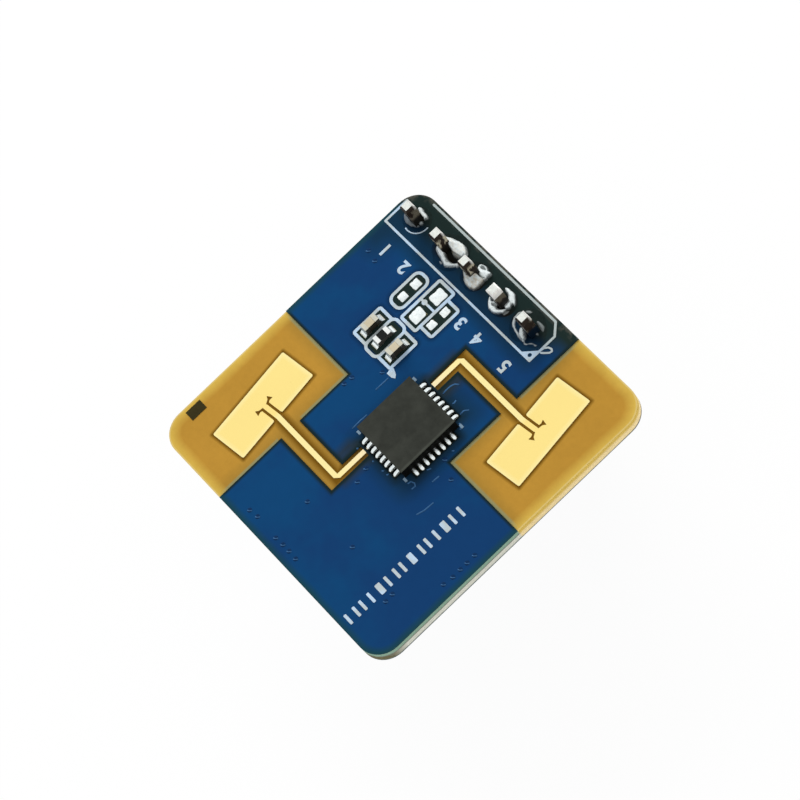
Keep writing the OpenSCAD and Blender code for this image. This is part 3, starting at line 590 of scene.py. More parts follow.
class RADAR_OT_board_finish(bpy.types.Operator):
    """Finishes the laminate, the solder masks and the print"""

    bl_idname = "radar.board_finish"
    bl_label = "Finish Board"

    def execute(self, context):
        look = settings().radar_board
        self.finish_laminate(look)
        self.finish_front_mask(look)
        self.finish_back_mask(look)
        self.finish_ink(look)
        return {"FINISHED"}

    def finish_laminate(self, look):
        finish = Finish("glass_fibre_laminate", roughness=0.6, specular=0.02)
        mottle = finish.grain(380, 0.2)["Tone"]
        fine = finish.grain(2600, 0.16)["Tone"]
        pushed = finish.wobble(0.12, 700)
        deep = finish.regions(window_boxes(-0.4), soft=0.5, place=pushed)
        face = finish.mix(deep, rgba(look.shade), rgba(look.tan))
        seam = finish.regions(window_boxes(-0.18, 0.2), soft=0.06)
        face = finish.mix(seam, rgba(look.olive), face)
        # Painted shadow on the laminate beside the feed lines and round the antenna patches
        beside = finish.regions(feed_boxes(0.24), soft=0.16)
        for side in (0, 1):
            beside = finish.maths("MAXIMUM", beside, finish.patch_region(side, 0.15, 0.09))
        face = finish.mix(finish.maths("MULTIPLY", beside, 0.92), face, rgba(look.shadow_by_copper))
        # Painted shade on the laminate beside the feed lines near the radar chip
        leg_shade = finish.regions([(0, 0.07, 1.3, 3.4, 0.2)], soft=0.6)
        face = finish.mix(finish.maths("MULTIPLY", leg_shade, 0.6), face, rgba(look.shade_by_chip))
        inner = finish.regions([(0, 0, 9.62, 9.62, 1.2)], soft=0.34, place=pushed)
        face = finish.mix(inner, rgba(look.pale), face)
        rim = finish.regions([(0, 0, 9.95, 9.95, 1.46)], soft=0.05)
        face = finish.mix(finish.maths("MAXIMUM", rim, 0.7), rgba(look.cream), face)
        body = finish.mix(finish.upright(), face, self.board_side(finish, look))
        finish.bump(finish.grain(1200, 1.0, 1.0)["Height"], 0.000004)
        dress(finish.paint(body, finish.maths("MULTIPLY", mottle, fine)), "circuit_board")

    def board_side(self, finish, look):
        """The side of the board: a teal band over a pale one, with a line between them and at the foot."""
        height = finish.split(finish.wobble(0.04, 900))["Z"]
        upper = finish.span(height, 0.48 * MM, 0.54 * MM)
        corner = finish.regions([(9.6, -10.4, 1.6, 1.9, 0.1)], 0.5)
        lower = finish.mix(corner, rgba(look.cut_edge), rgba(look.cut_olive))
        side = finish.mix(upper, lower, rgba(look.cut_teal))
        line = finish.maths(
            "MULTIPLY",
            finish.span(height, 0.4 * MM, 0.45 * MM),
            finish.span(height, 0.55 * MM, 0.5 * MM),
        )
        foot = finish.span(height, 0.1 * MM, 0.03 * MM)
        line = finish.maths("MAXIMUM", line, finish.maths("MULTIPLY", foot, 0.6))
        side = finish.mix(line, side, rgba(look.cut_line))
        specks = finish.span(finish.grain(1500, 1.0)["Noise"], 0.62, 0.7)
        side = finish.mix(finish.maths("MULTIPLY", specks, 0.6), side, rgba(look.cut_line))
        pale = finish.span(height, 0.62 * MM, 0.3 * MM)
        bare = finish.mix(pale, rgba(look.cut_yellow), rgba(look.cut_cream))
        round_corner = finish.regions([(10.2, 10.2, 2.2, 2.2, 0.1)], 0.6)
        foot = finish.maths("MULTIPLY", foot, finish.maths("MULTIPLY_ADD", round_corner, 0.5, 0.25))
        bare = finish.mix(foot, bare, rgba(look.cut_line))
        return finish.mix(finish.regions(window_boxes(0), 0.06), side, bare)

    def finish_mask(self, name, layers):
        """A blue mask with darker layers: each its colour, its share and where it lies."""
        look = settings().radar_board
        finish = Finish(name, roughness=0.42, specular=0.02)
        cloud = finish.span(finish.grain(170, 1.0)["Noise"], 0.4, 0.62)
        fine = finish.grain(1500, 0.1, 1.0)
        body = finish.mix(cloud, rgba(look.mask_blue), rgba(look.mask_deep))
        for tint, share, boxes, soft in layers:
            where = finish.regions(boxes, soft)
            body = finish.mix(finish.maths("MULTIPLY", where, share), body, rgba(tint))
        rim = finish.regions([(0, 0, 9.76, 9.76, 1.28)], soft=0.2, place=finish.wobble(0.1, 500))
        worn = finish.regions([(0, 13.6, 12, 5, 0.05)], soft=0.3)
        speckle = finish.span(finish.grain(1800, 1.0)["Noise"], 0.4, 0.6)
        worn_edge = finish.mix(speckle, rgba(look.mask_bare), rgba(look.mask_worn))
        edge = finish.mix(worn, rgba(look.mask_edge), worn_edge)
        body = finish.mix(rim, edge, body)
        finish.bump(fine["Height"], 0.000006)
        return finish.paint(body, fine["Tone"])

    def finish_front_mask(self, look):
        frames = [
            (-5.89, 4.2, -4.84, 6.53, 0.4),
            (-4.48, 4, -3.22, 6.96, 0.1),
            (-3.22, 4.38, -2.22, 6.46, 0.14),
            (-5.87, 1.56, -2.6, 3.57, 0.1),
        ]
        outside = [
            front_box(left - 0.24, low - 0.24, right + 0.24, top + 0.24, radius + 0.24)
            for left, low, right, top, radius in frames
        ]
        inside = [front_box(*frame) for frame in frames]
        # The rows of the radar chip's lands, where its painted shadow darkens the mask
        chip = [
            front_box(CHIP_X - 1.62, 1.9, CHIP_X + 1.62, 2.47),
            front_box(CHIP_X - 1.62, -2.47, CHIP_X + 1.62, -1.9),
            front_box(CHIP_X + 1.9, -1.62, CHIP_X + 2.47, 1.62),
        ]
        shade_beside_lands = [(x, y, half_x + 0.22, half_y + 0.22, 0.2) for x, y, half_x, half_y, _ in chip]
        leg_shade = window_boxes(0.36)[2::3]
        shade_round_chip = [
            front_box(CHIP_X - 2.2, -3.0, CHIP_X + 2.9, 2.3, 0.6),
            front_box(CHIP_X - 1.2, 0, CHIP_X + 2.4, 3.5, 0.6),
        ]
        channels = [box for i, box in enumerate(window_boxes(0.2)) if i % 3]
        bend = front_box(0.7, 2.8, 1.1, 4.1, 0.1)
        layers = [
            # Painted shade round the radar chip
            (look.mask_dusk, 0.8, shade_round_chip, 0.6),
            (look.mask_dusk, 0.92, [(-3.35, 8.4, 6.6, 1.6, 0.3)], 0.5),
            (look.mask_dusk, 0.9, [(-9.8, 8.3, 1.3, 2.9, 0.8)], 0.8),
            (look.mask_navy, 0.8, outside, 0.14),
            (look.mask_bare, 1.0, inside, 0.05),
            (look.mask_bare, 1.0, [(-3.75, 14.05, 6.75, 5.75, 0.3)], 0.5),
            (look.mask_bare, 1.0, [(-0.6, 14.05, 9.9, 5.3, 0.3)], 0.7),
            # Painted shade round the rows of the radar chip's lands
            (look.mask_edge_shade, 0.75, shade_beside_lands, 0.3),
            (look.mask_shade, 0.8, leg_shade, 0.3),
            (look.mask_shade, 0.85, [bend, turned_box(bend)], 0.35),
            # Painted shade along the channels and the edges of the antenna windows
            (look.mask_edge_shade, 0.85, channels, 0.12),
            (look.mask_edge_shade, 1.0, window_boxes(0.14), 0.07),
            # Painted shadow of the radar chip between its lands
            (look.mask_chip_shadow, 1.0, chip, 0.08),
        ]
        dress(self.finish_mask("front_blue_mask", layers), "front_solder_mask")

    def finish_back_mask(self, look):
        bare = [(x, PIN_Y, 1.05, 1.05, 1.04) for x in PIN_X]
        bare.append((-1.2, -2.2, 3.0, 3.0, 0.1))
        layers = [(look.mask_navy, 0.7, bare, 0.1)]
        dress(self.finish_mask("back_blue_mask", layers), "back_solder_mask")

    def finish_ink(self, look):
        dress(light_ink("light_ink", look), "front_silkscreen")
        dark = Finish("dark_ink", roughness=0.5, specular=0.1)
        speckle = dark.grain(3000, 0.8)["Tone"]
        dress(dark.paint(rgba(look.ink_dark), speckle), "corner_mark")


def light_ink(name, look):
    """Printed ink, worn grey in places and past the pin row."""
    finish = Finish(name, roughness=0.6, specular=0.05)
    worn = finish.grain(2400, 0.2, 1.0)
    spots = finish.span(finish.grain(700, 1.0)["Noise"], 0.42, 0.58)
    past_row = finish.regions([(0, 13.7, 12, 5, 0.05)], soft=0.3)
    body = finish.mix(finish.maths("MULTIPLY", spots, 0.8), rgba(look.ink), rgba(look.ink_grey))
    body = finish.mix(past_row, body, rgba(look.ink_worn))
    ticks = finish.regions([(CHIP_X - 0.05, 0.07, 2.6, 2.6, 0.05)], 0.1)
    body = finish.mix(finish.maths("MULTIPLY", ticks, 0.85), body, rgba(look.ink_tick))
    finish.bump(worn["Height"], 0.000008)
    return finish.paint(body, worn["Tone"])


class RADAR_OT_metal_finish(bpy.types.Operator):
    """Finishes the antennas, lands, terminals, joints and pins"""

    bl_idname = "radar.metal_finish"
    bl_label = "Finish Metals"

    def execute(self, context):
        look = settings().radar_metal
        for side, name in enumerate(("transmit_antenna", "receive_antenna")):
            dress(self.antenna_gold(look, side, name), name)
        land = self.metal("tinned_land", look.land, 0.34, 900, 0.1)
        dress(land, "front_part_lands", "controller_lands", "back_part_lands")
        for part, base in (("lands", look.land), ("terminals", look.tin), ("solder", look.solder)):
            finish = self.metal(f"radar_{part}", base, 0.3, 5200, 0.16, shadow_teeth=True)
            dress(finish, f"radar_chip_{part}")
        plating = self.metal("hole_plating", look.plating, 0.34, 900, 0.1)
        dress(plating, *[f"plated_hole_{i}" for i in range(1, 6)])
        foil = self.metal("copper_foil", look.copper, 0.4, 700, 0.15)
        dress(foil, "front_ground_plane", "back_ground_plane")
        tin = self.metal("terminal_tin", look.tin, 0.34, 2500, 0.1)
        dress(
            tin,
            "controller_terminals",
            "regulator_leads",
            "front_resistor_ends",
            "back_capacitor_ends",
            "back_resistor_ends",
        )
        solder = self.metal("chip_solder", look.solder, 0.3, 5200, 0.2, 0.00001)
        dress(
            solder,
            "controller_solder",
            "front_part_solder",
            "spare_pads",
            "back_part_solder",
        )
        dress(self.pin_metal(look), *[f"header_pin_{i}" for i in range(1, 6)])
        return {"FINISHED"}

    def metal(self, name, base, roughness, scale, contrast, relief=0.000004, shadow_teeth=False):
        """Plain metal with painted shade: upright faces a little darker and faces to +X darker still, or on
        the radar chip's parts a painted shadow at its side to +X, cut into points.
        """
        finish = Finish(name, roughness=roughness, metallic=0.6)
        grain = finish.grain(scale, contrast, 1.0)
        finish.bump(grain["Height"], relief)
        # Painted shade: upright faces a little darker, faces to +X much darker
        sides = finish.maths("MULTIPLY_ADD", finish.upright(), -0.15, 1.0)
        if shadow_teeth:
            # Painted shadow of the radar chip on its parts at its +X side, cut into points
            sides = finish.maths("MULTIPLY_ADD", self.shadow_teeth(finish), -0.85, 1.0)
        else:
            sides = finish.maths("MULTIPLY_ADD", finish.facing_x(), -0.55, sides)
        return finish.paint(rgba(base), finish.maths("MULTIPLY", grain["Tone"], sides))

    def shadow_teeth(self, finish):
        """Painted shadow of the radar chip: 1 beside points that widen away from its side to +X, one on each
        terminal.
        """
        place = finish.split(finish.place)
        out = finish.maths("MULTIPLY_ADD", place["X"], 1 / MM, -CHIP_X - 1.95)
        along = finish.maths("MULTIPLY_ADD", place["Y"], 1 / (0.4 * MM), 9.825)
        along = finish.maths("ABSOLUTE", finish.maths("SUBTRACT", finish.maths("FRACT", along), 0.5))
        half = finish.maths("MULTIPLY_ADD", out, 0.55, 0.005)
        past = finish.maths("SUBTRACT", finish.maths("MULTIPLY", along, 0.4), half)
        beyond = finish.maths("GREATER_THAN", out, -0.01)
        return finish.maths("MULTIPLY", finish.span(past, -0.015, 0.015), beyond)

    def antenna_gold(self, look, side, name):
        """Bright gold, a little paler on the feed line and along the turned patch's rim."""
        finish = Finish(name + "_gold", roughness=0.5, metallic=1.0)
        deep = finish.patch_region(side, -0.16, 0.14)
        body = finish.mix(deep, rgba(look.gold_edge), rgba(look.gold))
        body = finish.mix(finish.regions([(0, 0.07, 1, 2.9, 0.2)], 1.4), body, rgba(look.gold_pale))
        grain = finish.grain(260, 0.05, 1.0)
        specks = finish.span(finish.grain(2400, 1.0)["Noise"], 0.68, 0.74)
        body = finish.mix(finish.maths("MULTIPLY", specks, 0.25), body, rgba(look.plating))
        finish.bump(grain["Height"], 0.000004)
        return finish.paint(body, grain["Tone"])

    def pin_metal(self, look):
        """Bright cut ends over sides in painted shade, with stained streaks, painted highlights and painted
        shade at the foot.
        """
        finish = Finish("pin_metal", roughness=0.34, specular=0.1)
        finish.feed(
            finish.shader.inputs["Metallic"],
            finish.maths("MULTIPLY_ADD", finish.upright(), -0.6, 0.6),
        )
        stretched = finish.node("ShaderNodeMapping")
        stretched.inputs["Scale"].default_value = (1, 1, 0.4)
        finish.feed(stretched.inputs["Vector"], finish.place)
        lines = finish.grain(5200, 0.5, 1.0, place=stretched.outputs[0])
        height = finish.split(finish.place)["Z"]
        stain = finish.span(finish.grain(3400, 1.0, place=stretched.outputs[0])["Noise"], 0.48, 0.54)
        middle = finish.maths(
            "MULTIPLY",
            finish.span(height, 1.5 * MM, 1.9 * MM),
            finish.span(height, 2.6 * MM, 2.3 * MM),
        )
        streaked = finish.regions([(-4.52, PIN_Y, 1.7, 0.6, 0.1)], 0.1)
        stain = finish.maths("MULTIPLY", stain, finish.maths("MULTIPLY_ADD", streaked, 0.7, 0.2))
        # Sides of the pins in painted shade, with stained streaks
        side = finish.mix(
            finish.maths("MULTIPLY", stain, middle), rgba(look.pin_side_shade), rgba(look.streak)
        )
        # Painted highlight near the top of each pin's +Y side, and on pin 4's sides above its bend
        right = [(x, PIN_Y + 0.28, 0.6, 0.06, 0.05) for x in PIN_X]
        shine = finish.maths(
            "MULTIPLY", finish.regions(right, 0.06), finish.span(height, 2.3 * MM, 2.5 * MM, 0, 0.75)
        )
        bent_highlight = finish.maths(
            "MULTIPLY",
            finish.regions([(PIN_X[3], PIN_Y, 0.6, 0.6, 0.05)], 0.05),
            finish.span(height, 2.28 * MM, 2.32 * MM),
        )
        side = finish.mix(finish.maths("MAXIMUM", shine, bent_highlight), side, rgba(look.pin_highlight))
        # Painted shade at the foot of the pins: near black, navy on the last pin
        foot = finish.maths(
            "MULTIPLY",
            finish.span(height, 1.8 * MM, 1.5 * MM),
            finish.span(height, 0.0, 0.2 * MM),
        )
        last = finish.regions([(PIN_X[4], PIN_Y, 0.6, 0.6, 0.05)], 0.05)
        side = finish.mix(foot, side, finish.mix(last, rgba(look.pin_foot_shade), rgba(look.flux)))
        mating = finish.span(height, -0.2 * MM, -0.6 * MM)
        side = finish.mix(mating, side, rgba(look.pin))
        specks = finish.span(finish.grain(5200, 1.0)["Noise"], 0.56, 0.7)
        top = finish.mix(finish.maths("MULTIPLY", specks, 0.5), rgba(look.pin), rgba(look.tan_solder))
        finish.bump(lines["Height"], 0.000005)
        return finish.paint(finish.mix(finish.upright(), top, side), lines["Tone"])


class RADAR_OT_part_finish(bpy.types.Operator):
    """Finishes the chips, the small parts, the crystal and the header's insulator"""

    bl_idname = "radar.part_finish"
    bl_label = "Finish Parts"

    def execute(self, context):
        look = settings().radar_part
        dress(self.radar_chip(look), "radar_chip_body")
        mould = self.moulded("chip_moulding", look.mould, 0.5, 3200, 0.35, 0.5)
        dress(mould, "controller_body", "regulator_body")
        header = self.moulded("header_plastic", look.header, 0.45, 1400, 0.2, 0.9)
        dress(header, "header_base")
        ceramic = self.moulded("capacitor_ceramic", look.ceramic, 0.5, 1800, 0.4, 0.06)
        dress(ceramic, "left_capacitor_body", "right_capacitor_body", "back_capacitor_bodies")
        ends = self.moulded("capacitor_ends", look.cap_end, 0.4, 4200, 0.3, 0.08)
        dress(ends, "left_capacitor_ends", "right_capacitor_ends")
        alumina = self.moulded("resistor_alumina", look.alumina, 0.6, 2600, 0.12, 0.1)
        dress(alumina, "front_resistor_body", "back_resistor_bodies")
        coat = self.moulded("resistor_coat", look.coat, 0.4, 1800, 0.3, 0.95)
        dress(coat, "front_resistor_coat", "back_resistor_coats")
        base = self.moulded("crystal_ceramic", look.crystal, 0.55, 2600, 0.2, 0.9)
        dress(base, "crystal_base")
        self.finish_lid(look)
        return {"FINISHED"}

    def moulded(self, name, base, roughness, scale, contrast, side_shade):
        """A matte body whose upright sides are darker than its top, by painted shade."""
        finish = Finish(name, roughness=roughness, specular=0.1)
        grain = finish.grain(scale, contrast, 1.0)
        finish.bump(grain["Height"], 0.00001)
        # Painted shade on the upright sides
        sides = finish.maths("MULTIPLY_ADD", finish.upright(), side_shade - 1, 1.0)
        return finish.paint(rgba(base), finish.maths("MULTIPLY", grain["Tone"], sides))

    def radar_chip(self, look):
        """A dark body with a blotched top, a painted highlight along its +X edge and sides blackened by
        painted shade.
        """
        finish = Finish("radar_chip_moulding", roughness=0.6, specular=0.05)
        blotch = finish.grain(1000, 1.1)["Tone"]
        grain = finish.grain(3000, 0.3, 1.0)
        # Painted highlight along the top's +X edge
        highlight_band = finish.regions([(CHIP_X + 1.86, 0.07, 0.05, 2.1, 0.05)], soft=0.06)
        top = finish.mix(finish.maths("MULTIPLY", highlight_band, 0.6), rgba(look.mould), rgba(look.mould_edge_highlight))
        # Painted shade blackens the upright sides
        sides = finish.maths("MULTIPLY_ADD", finish.upright(), -0.9, 1.0)
        tone = finish.maths("MULTIPLY", grain["Tone"], finish.maths("MULTIPLY", blotch, sides))
        finish.bump(grain["Height"], 0.000008)
        return finish.paint(top, tone)

    def finish_lid(self, look):
        finish = Finish("crystal_lid_metal", roughness=0.3, metallic=1.0)
        rim = finish.regions([(5.5, -1.7, 1.3, 0.95, 0.2)], soft=0.06)
        grain = finish.grain(1500, 0.08, 1.0)
        finish.bump(finish.maths("ADD", grain["Height"], rim), 0.000012)
        dress(finish.paint(rgba(look.lid), grain["Tone"]), "crystal_lid")


class RADAR_OT_pin_solder(bpy.types.Operator):
    """Builds the uneven solder of the header's five joints and of the spare pads"""

    bl_idname = "radar.pin_solder"
    bl_label = "Solder Pins"

    # For each pin, its blobs: height, height at the pin's face, shares of solder and of stain,
    # and a few points from the pin, in millimetres, that its rounded outline runs through. One of
    # no height is a dip in those before it, and its share of solder is what it leaves of theirs
    JOINTS = (
        (
            (0.3, 0.3, 0.8, 0.15, (
                (-0.5, 0.45), (-0.4, 0.65), (0.05, 0.6), (0.45, 0.5), (0.35, 0.25), (0.1, 0.2), (-0.3, 0.35),
            )),
            (0.2, 0.25, 0.25, 0, ((0.05, 0), (0.2, 0.15), (0.45, 0.1), (0.45, -0.05), (0.2, -0.15))),
            (0.1, 0.15, 0.14, 0, (
                (-0.9, -0.15), (-0.3, -0.25), (0.4, -0.15), (0.35, -0.3), (-0.1, -0.55), (-0.5, -0.55),
                (-0.8, -0.4),
            )),
        ),
        (
            (0.42, 0.8, 0.95, 0.35, (
                (-0.25, 0.3), (-0.2, 0.5), (0.4, 0.75), (0.8, 0.8), (1.15, 0.7), (1.4, 0.45), (1.2, 0.25),
                (0.7, 0.1), (0.2, 0.15),
            )),
            (0.3, 0.4, 0.25, 1, ((0.5, 0.1), (0.9, 0.25), (1.25, 0.25), (1.25, 0.05), (0.9, -0.05))),
            (0.3, 0.5, 0.75, 0.05, (
                (-0.3, -0.2), (-0.15, -0.55), (0.55, -0.7), (0.9, -0.8), (1.2, -0.55), (1.5, -0.15),
                (1.1, -0.35), (0.7, -0.4), (0.3, -0.25), (0.05, -0.15),
            )),
            (0.05, 0.05, 0.3, 0, ((0.35, -0.8), (0.4, -0.75), (0.55, -0.75), (0.55, -0.85))),
        ),
        (
            (0.35, 0.4, 0.9, 0, (
                (-0.15, 0.5), (0, 0.75), (0.3, 0.8), (0.5, 0.7), (0.75, 0.7), (0.8, 0.5), (0.7, 0.25),
                (0.35, 0.15), (0.05, 0.25),
            )),
            (0, 0, 0.4, 0, ((0, 0.55), (0.05, 0.7), (0.45, 0.65), (0.35, 0.5), (0.2, 0.45))),
            (0.32, 0.7, 0.75, 0.7, (
                (-0.5, -0.2), (-0.25, -0.55), (0, -0.7), (0.3, -0.75), (0.7, -0.65), (0.8, -0.4), (0.8, 0.1),
                (0.75, 0.4), (0.6, 0.2), (0.2, 0.15), (-0.2, 0.1),
            )),
            (0, 0, 0.05, 0, ((-0.5, -0.2), (-0.35, -0.05), (0.1, -0.2), (0.05, -0.35), (-0.2, -0.3))),
        ),
        (
            (0.3, 0.3, 0.9, 0, (
                (-0.55, 0.65), (-0.2, 0.8), (0.1, 0.8), (0.35, 0.7), (0.7, 0.3), (0.55, 0.3), (0.6, 0),
                (0.45, -0.15), (0.2, -0.1), (0.1, 0), (0.15, 0.25), (-0.05, 0.45),
            )),
            (0.28, 0.28, 0.85, 0, (
                (-0.8, -0.25), (-0.7, -0.5), (-0.4, -0.75), (0.05, -0.8), (0.3, -0.65), (0.5, -0.4),
                (0.5, -0.15), (0.4, -0.2), (0.1, -0.4), (-0.1, -0.3), (-0.3, -0.2), (-0.5, -0.35),
            )),
            (0, 0, 0.45, 0, ((-0.4, -0.45), (-0.3, -0.3), (-0.1, -0.3), (0, -0.4), (-0.2, -0.55))),
            (0.04, 0.04, 0.2, 0, ((0.5, -0.45), (0.55, -0.15), (0.65, -0.05), (0.65, -0.4))),
        ),
        (
            (0.15, 0.15, 0.5, 0, (
                (-1.35, 0.35), (-1.45, 0), (-1.25, -0.45), (-0.65, -0.7), (0.1, -0.8), (0.1, -0.65),
                (-0.5, -0.6), (-1, -0.4), (-1.25, 0), (-1.25, 0.3),
            )),
            (0.3, 0.35, 0.6, 0.1, (
                (-0.6, -0.35), (-0.5, -0.2), (-0.2, -0.25), (0, -0.4), (0.1, -0.7), (-0.15, -0.75),
                (-0.4, -0.65),
            )),
            (0.05, 0.05, 0.36, 0, (
                (0.05, -0.65), (0.25, -0.7), (0.5, -0.45), (0.85, -0.4), (0.8, -0.5), (0.6, -0.55),
                (0.25, -0.85),
            )),
            (0.05, 0.05, 0.3, 0, ((-1.2, 0.55), (-0.9, 0.75), (-0.8, 0.7), (-1.05, 0.5))),
            (0.12, 0.12, 0.18, 0, (
                (-0.25, 0.55), (0, 0.65), (0.3, 0.65), (0.5, 0.5), (0.5, 0.35), (0.1, 0.4),
            )),
            (0.1, 0.12, 0.14, 0, ((-0.3, 0.3), (-0.15, 0.4), (0.05, 0.2), (-0.05, 0.1))),
            (0.1, 0.12, 0.16, 0, ((-0.25, -0.05), (0.1, 0.15), (0.45, 0.1), (0.4, 0), (-0.15, -0.1))),
        ),
    )
    # Spare pads: X, Y and half sizes
    PADS = (
        (-5.43, 5.95, 0.26, 0.27), (-5.43, 4.95, 0.25, 0.25), (-3.85, 6.31, 0.36, 0.42),
        (-3.9, 4.78, 0.36, 0.42), (-2.84, 5.96, 0.23, 0.26), (-2.84, 4.95, 0.23, 0.26),
    )

    def execute(self, context):
        material = self.solder_finish(settings().radar_metal)
        for number, blobs in enumerate(self.JOINTS, 1):
            mesh = self.joint(number, [(*blob[:4], rounded_outline(blob[4])) for blob in blobs])
            add_piece(
                f"soldered_joint_{number}", mesh, material, [f"header_solder_{number}"]
            )
        add_piece("tinned_pads", self.pads(), material, ["spare_pads"])
        return {"FINISHED"}

    def solder_finish(self, look):
        """Dark flux with painted shade, from which the solder stands out by two marks kept on the mesh."""
        finish = Finish("joint_solder", roughness=0.34, metallic=1.0)
        grain = finish.grain(4200, 0.7, 1.0)
        fine = finish.grain(9000, 0.4, 1.0)
        share, stain = [
            finish.node("ShaderNodeAttribute", attribute_name=name).outputs["Fac"]
            for name in ("solder_share", "stain_share")
        ]
        spots = finish.span(grain["Noise"], 0.4, 0.6)
        metal = finish.mix(
            finish.maths("MULTIPLY", stain, spots), rgba(look.solder), rgba(look.tan_solder)
        )
        # Where no solder lies: flux with painted shade, bluer round pins 1 and 5 and greener on the +Y half
        far = finish.span(finish.split(finish.place)["Y"], 8.2 * MM, 8.9 * MM)
        near = finish.regions([(x, PIN_Y, 0.62, 0.62, 0.6) for x in (PIN_X[0], PIN_X[4])], 0.24)
        flux_and_shade = finish.mix(near, rgba(look.flux_rim), rgba(look.flux))
        # Near black painted shadow beside pins 2 to 4 on their +X side
        near = finish.regions([(x + 0.3, PIN_Y, 0.95, 0.6, 0.5) for x in PIN_X[1:4]], 0.2)
        flux_and_shade = finish.mix(near, flux_and_shade, rgba(look.pin_foot_shade))
        flux_and_shade = finish.mix(far, flux_and_shade, rgba(look.flux_far))
        body = finish.mix(share, flux_and_shade, metal)
        finish.feed(finish.shader.inputs["Metallic"], finish.span(share, 0.02, 0.3, 0.0, 0.5))
        finish.feed(
            finish.shader.inputs["Specular IOR Level"], finish.maths("MULTIPLY", share, 0.5)
        )
        finish.bump(finish.maths("MULTIPLY_ADD", fine["Height"], 0.3, grain["Height"]), 0.00002)
        return finish.paint(body, finish.maths("MULTIPLY", grain["Tone"], fine["Tone"]))

    def joint(self, number, blobs):
        """The filled hole and a foot on the board, on which the blobs stand round the pin."""
        shape = settings().radar_solder
        lower = [(0.0, -0.035), (0.18, -0.035), (0.18, 0.3), (0.18, 0.83), (0.5, 0.84), (1.0, 0.84)]
        rows = [(share, z, False) for share, z in lower]
        rows.append((1.0, 0.862, False))
        for i in range(1, shape.rings + 1):
            rows.append((1 - i / shape.rings, 0.862, True))
        turns = [2 * math.pi * step / shape.steps for step in range(shape.steps)]
        reaches = [self.foot_reach(turn, shape.foot / MM, blobs) for turn in turns]
        built = bmesh.new()
        solder = built.verts.layers.float.new("solder_share")
        stain = built.verts.layers.float.new("stain_share")
        grid = []
        for share, z, top in rows:
            ring = []
            for turn, reach in zip(turns, reaches):
                pin = PIN_HALF / max(abs(math.cos(turn)), abs(math.sin(turn))) + 0.001
                if share <= 0.18 and not top:
                    radius = max(pin, 0.5) if share else pin
                else:
                    radius = pin + (reach - pin) * share
                x, y = radius * math.cos(turn), radius * math.sin(turn)
                vertex = built.verts.new((x, y, z))
                if top:
                    rise, bright, tint = self.blob_height(x, y, number, blobs, shape.uneven)
                    vertex.co.z += rise
                    vertex[solder], vertex[stain] = bright, tint
                ring.append(vertex)
            grid.append(ring)
        grid.append(grid[0])
        for low, high in zip(grid, grid[1:]):
            for i in range(shape.steps):
                j = (i + 1) % shape.steps
                built.faces.new((low[i], low[j], high[j], high[i]))
        place = (PIN_X[number - 1], PIN_Y, 0)
        return self.solder_mesh(built, f"soldered_joint_{number}", place)

    def foot_reach(self, turn, foot, blobs):
        """How far the foot reaches from the pin's axis, so that each blob stands on it."""
        away = foot
        for x, y in [point for blob in blobs for point in blob[4]]:
            apart = abs((math.atan2(y, x) - turn + math.pi) % (2 * math.pi) - math.pi)
            away = max(away, (math.hypot(x, y) + 0.04) * math.cos(min(apart, 1.5)) ** 0.5)
        return away

    def blob_height(self, x, y, number, blobs, uneven):
        """Height over the foot, share of solder and share of stain at a place."""
        rise = bright = tint = 0.0
        near = max(0.0, 1 - (max(abs(x), abs(y)) - PIN_HALF) / 0.35) ** 1.5
        for height, climb, share, stain, outline in blobs:
            lump = noise.noise(Vector((5 * x + number, 5 * y - number, 9 * height + number)))
            depth = inside_depth(x, y, outline) + 0.3 * uneven * lump
            if depth <= 0:
                continue
            if not height:
                kept = 1 - (1 - share) * min(1, depth / 0.08)
                rise, bright = rise * kept, bright * kept
                continue
            round_off = math.sqrt(1 - (1 - min(1, depth / 0.17)) ** 2)
            rise = max(rise, (height + (climb - height) * near) * round_off)
            solid = share * min(1, 0.55 + depth / 0.12) * min(1, depth / 0.03)
            if solid > bright:
                bright, tint = solid, stain
        return rise, bright, tint

    def pads(self):
        """Flat domes of solder with uneven outlines on the six spare pads."""
        shape = settings().radar_solder
        built = bmesh.new()
        solder = built.verts.layers.float.new("solder_share")
        stain = built.verts.layers.float.new("stain_share")
        steps = 48
        for index, (at_x, at_y, half_x, half_y) in enumerate(self.PADS):
            grid = []
            for share, z in ((1, 0.801), (1, 0.86), (0.9, 0.9), (0.7, 1.0), (0.4, 1.1), (0.1, 1.12)):
                rise = (z - 0.86) / 0.26 * shape.pad / MM if z > 0.86 else 0
                ring = []
                for step in range(steps):
                    turn = 2 * math.pi * step / steps
                    c, s = math.cos(turn), math.sin(turn)
                    edge = (abs(c / half_x) ** 9 + abs(s / half_y) ** 9) ** (-1 / 9)
                    lump = noise.noise(Vector((1.9 * c, 1.9 * s, 3.1 * index + 7)))
                    radius = share * edge * (1.05 + shape.uneven * min(0.3, lump))
                    ring.append(built.verts.new(
                        (at_x + radius * c, at_y + radius * s, min(z, 0.86) + rise)
                    ))
                grid.append(ring)
            for ring in grid:
                for vertex in ring:
                    vertex[solder], vertex[stain] = 0.95, 0.1
            for low, high in zip(grid, grid[1:]):
                for i in range(steps):
                    j = (i + 1) % steps
                    built.faces.new((low[i], low[j], high[j], high[i]))
            built.faces.new(grid[0])
            built.faces.new(grid[-1])
        return self.solder_mesh(built, "tinned_pads", (0, 0, 0))

    def solder_mesh(self, built, name, place):
        bmesh.ops.recalc_face_normals(built, faces=built.faces)
        bmesh.ops.translate(built, vec=place, verts=built.verts)
        bmesh.ops.scale(built, vec=(MM, MM, MM), verts=built.verts)
        for face in built.faces:
            face.smooth = True
        mesh = bpy.data.meshes.new(name)
        built.to_mesh(mesh)
        built.free()
        return mesh


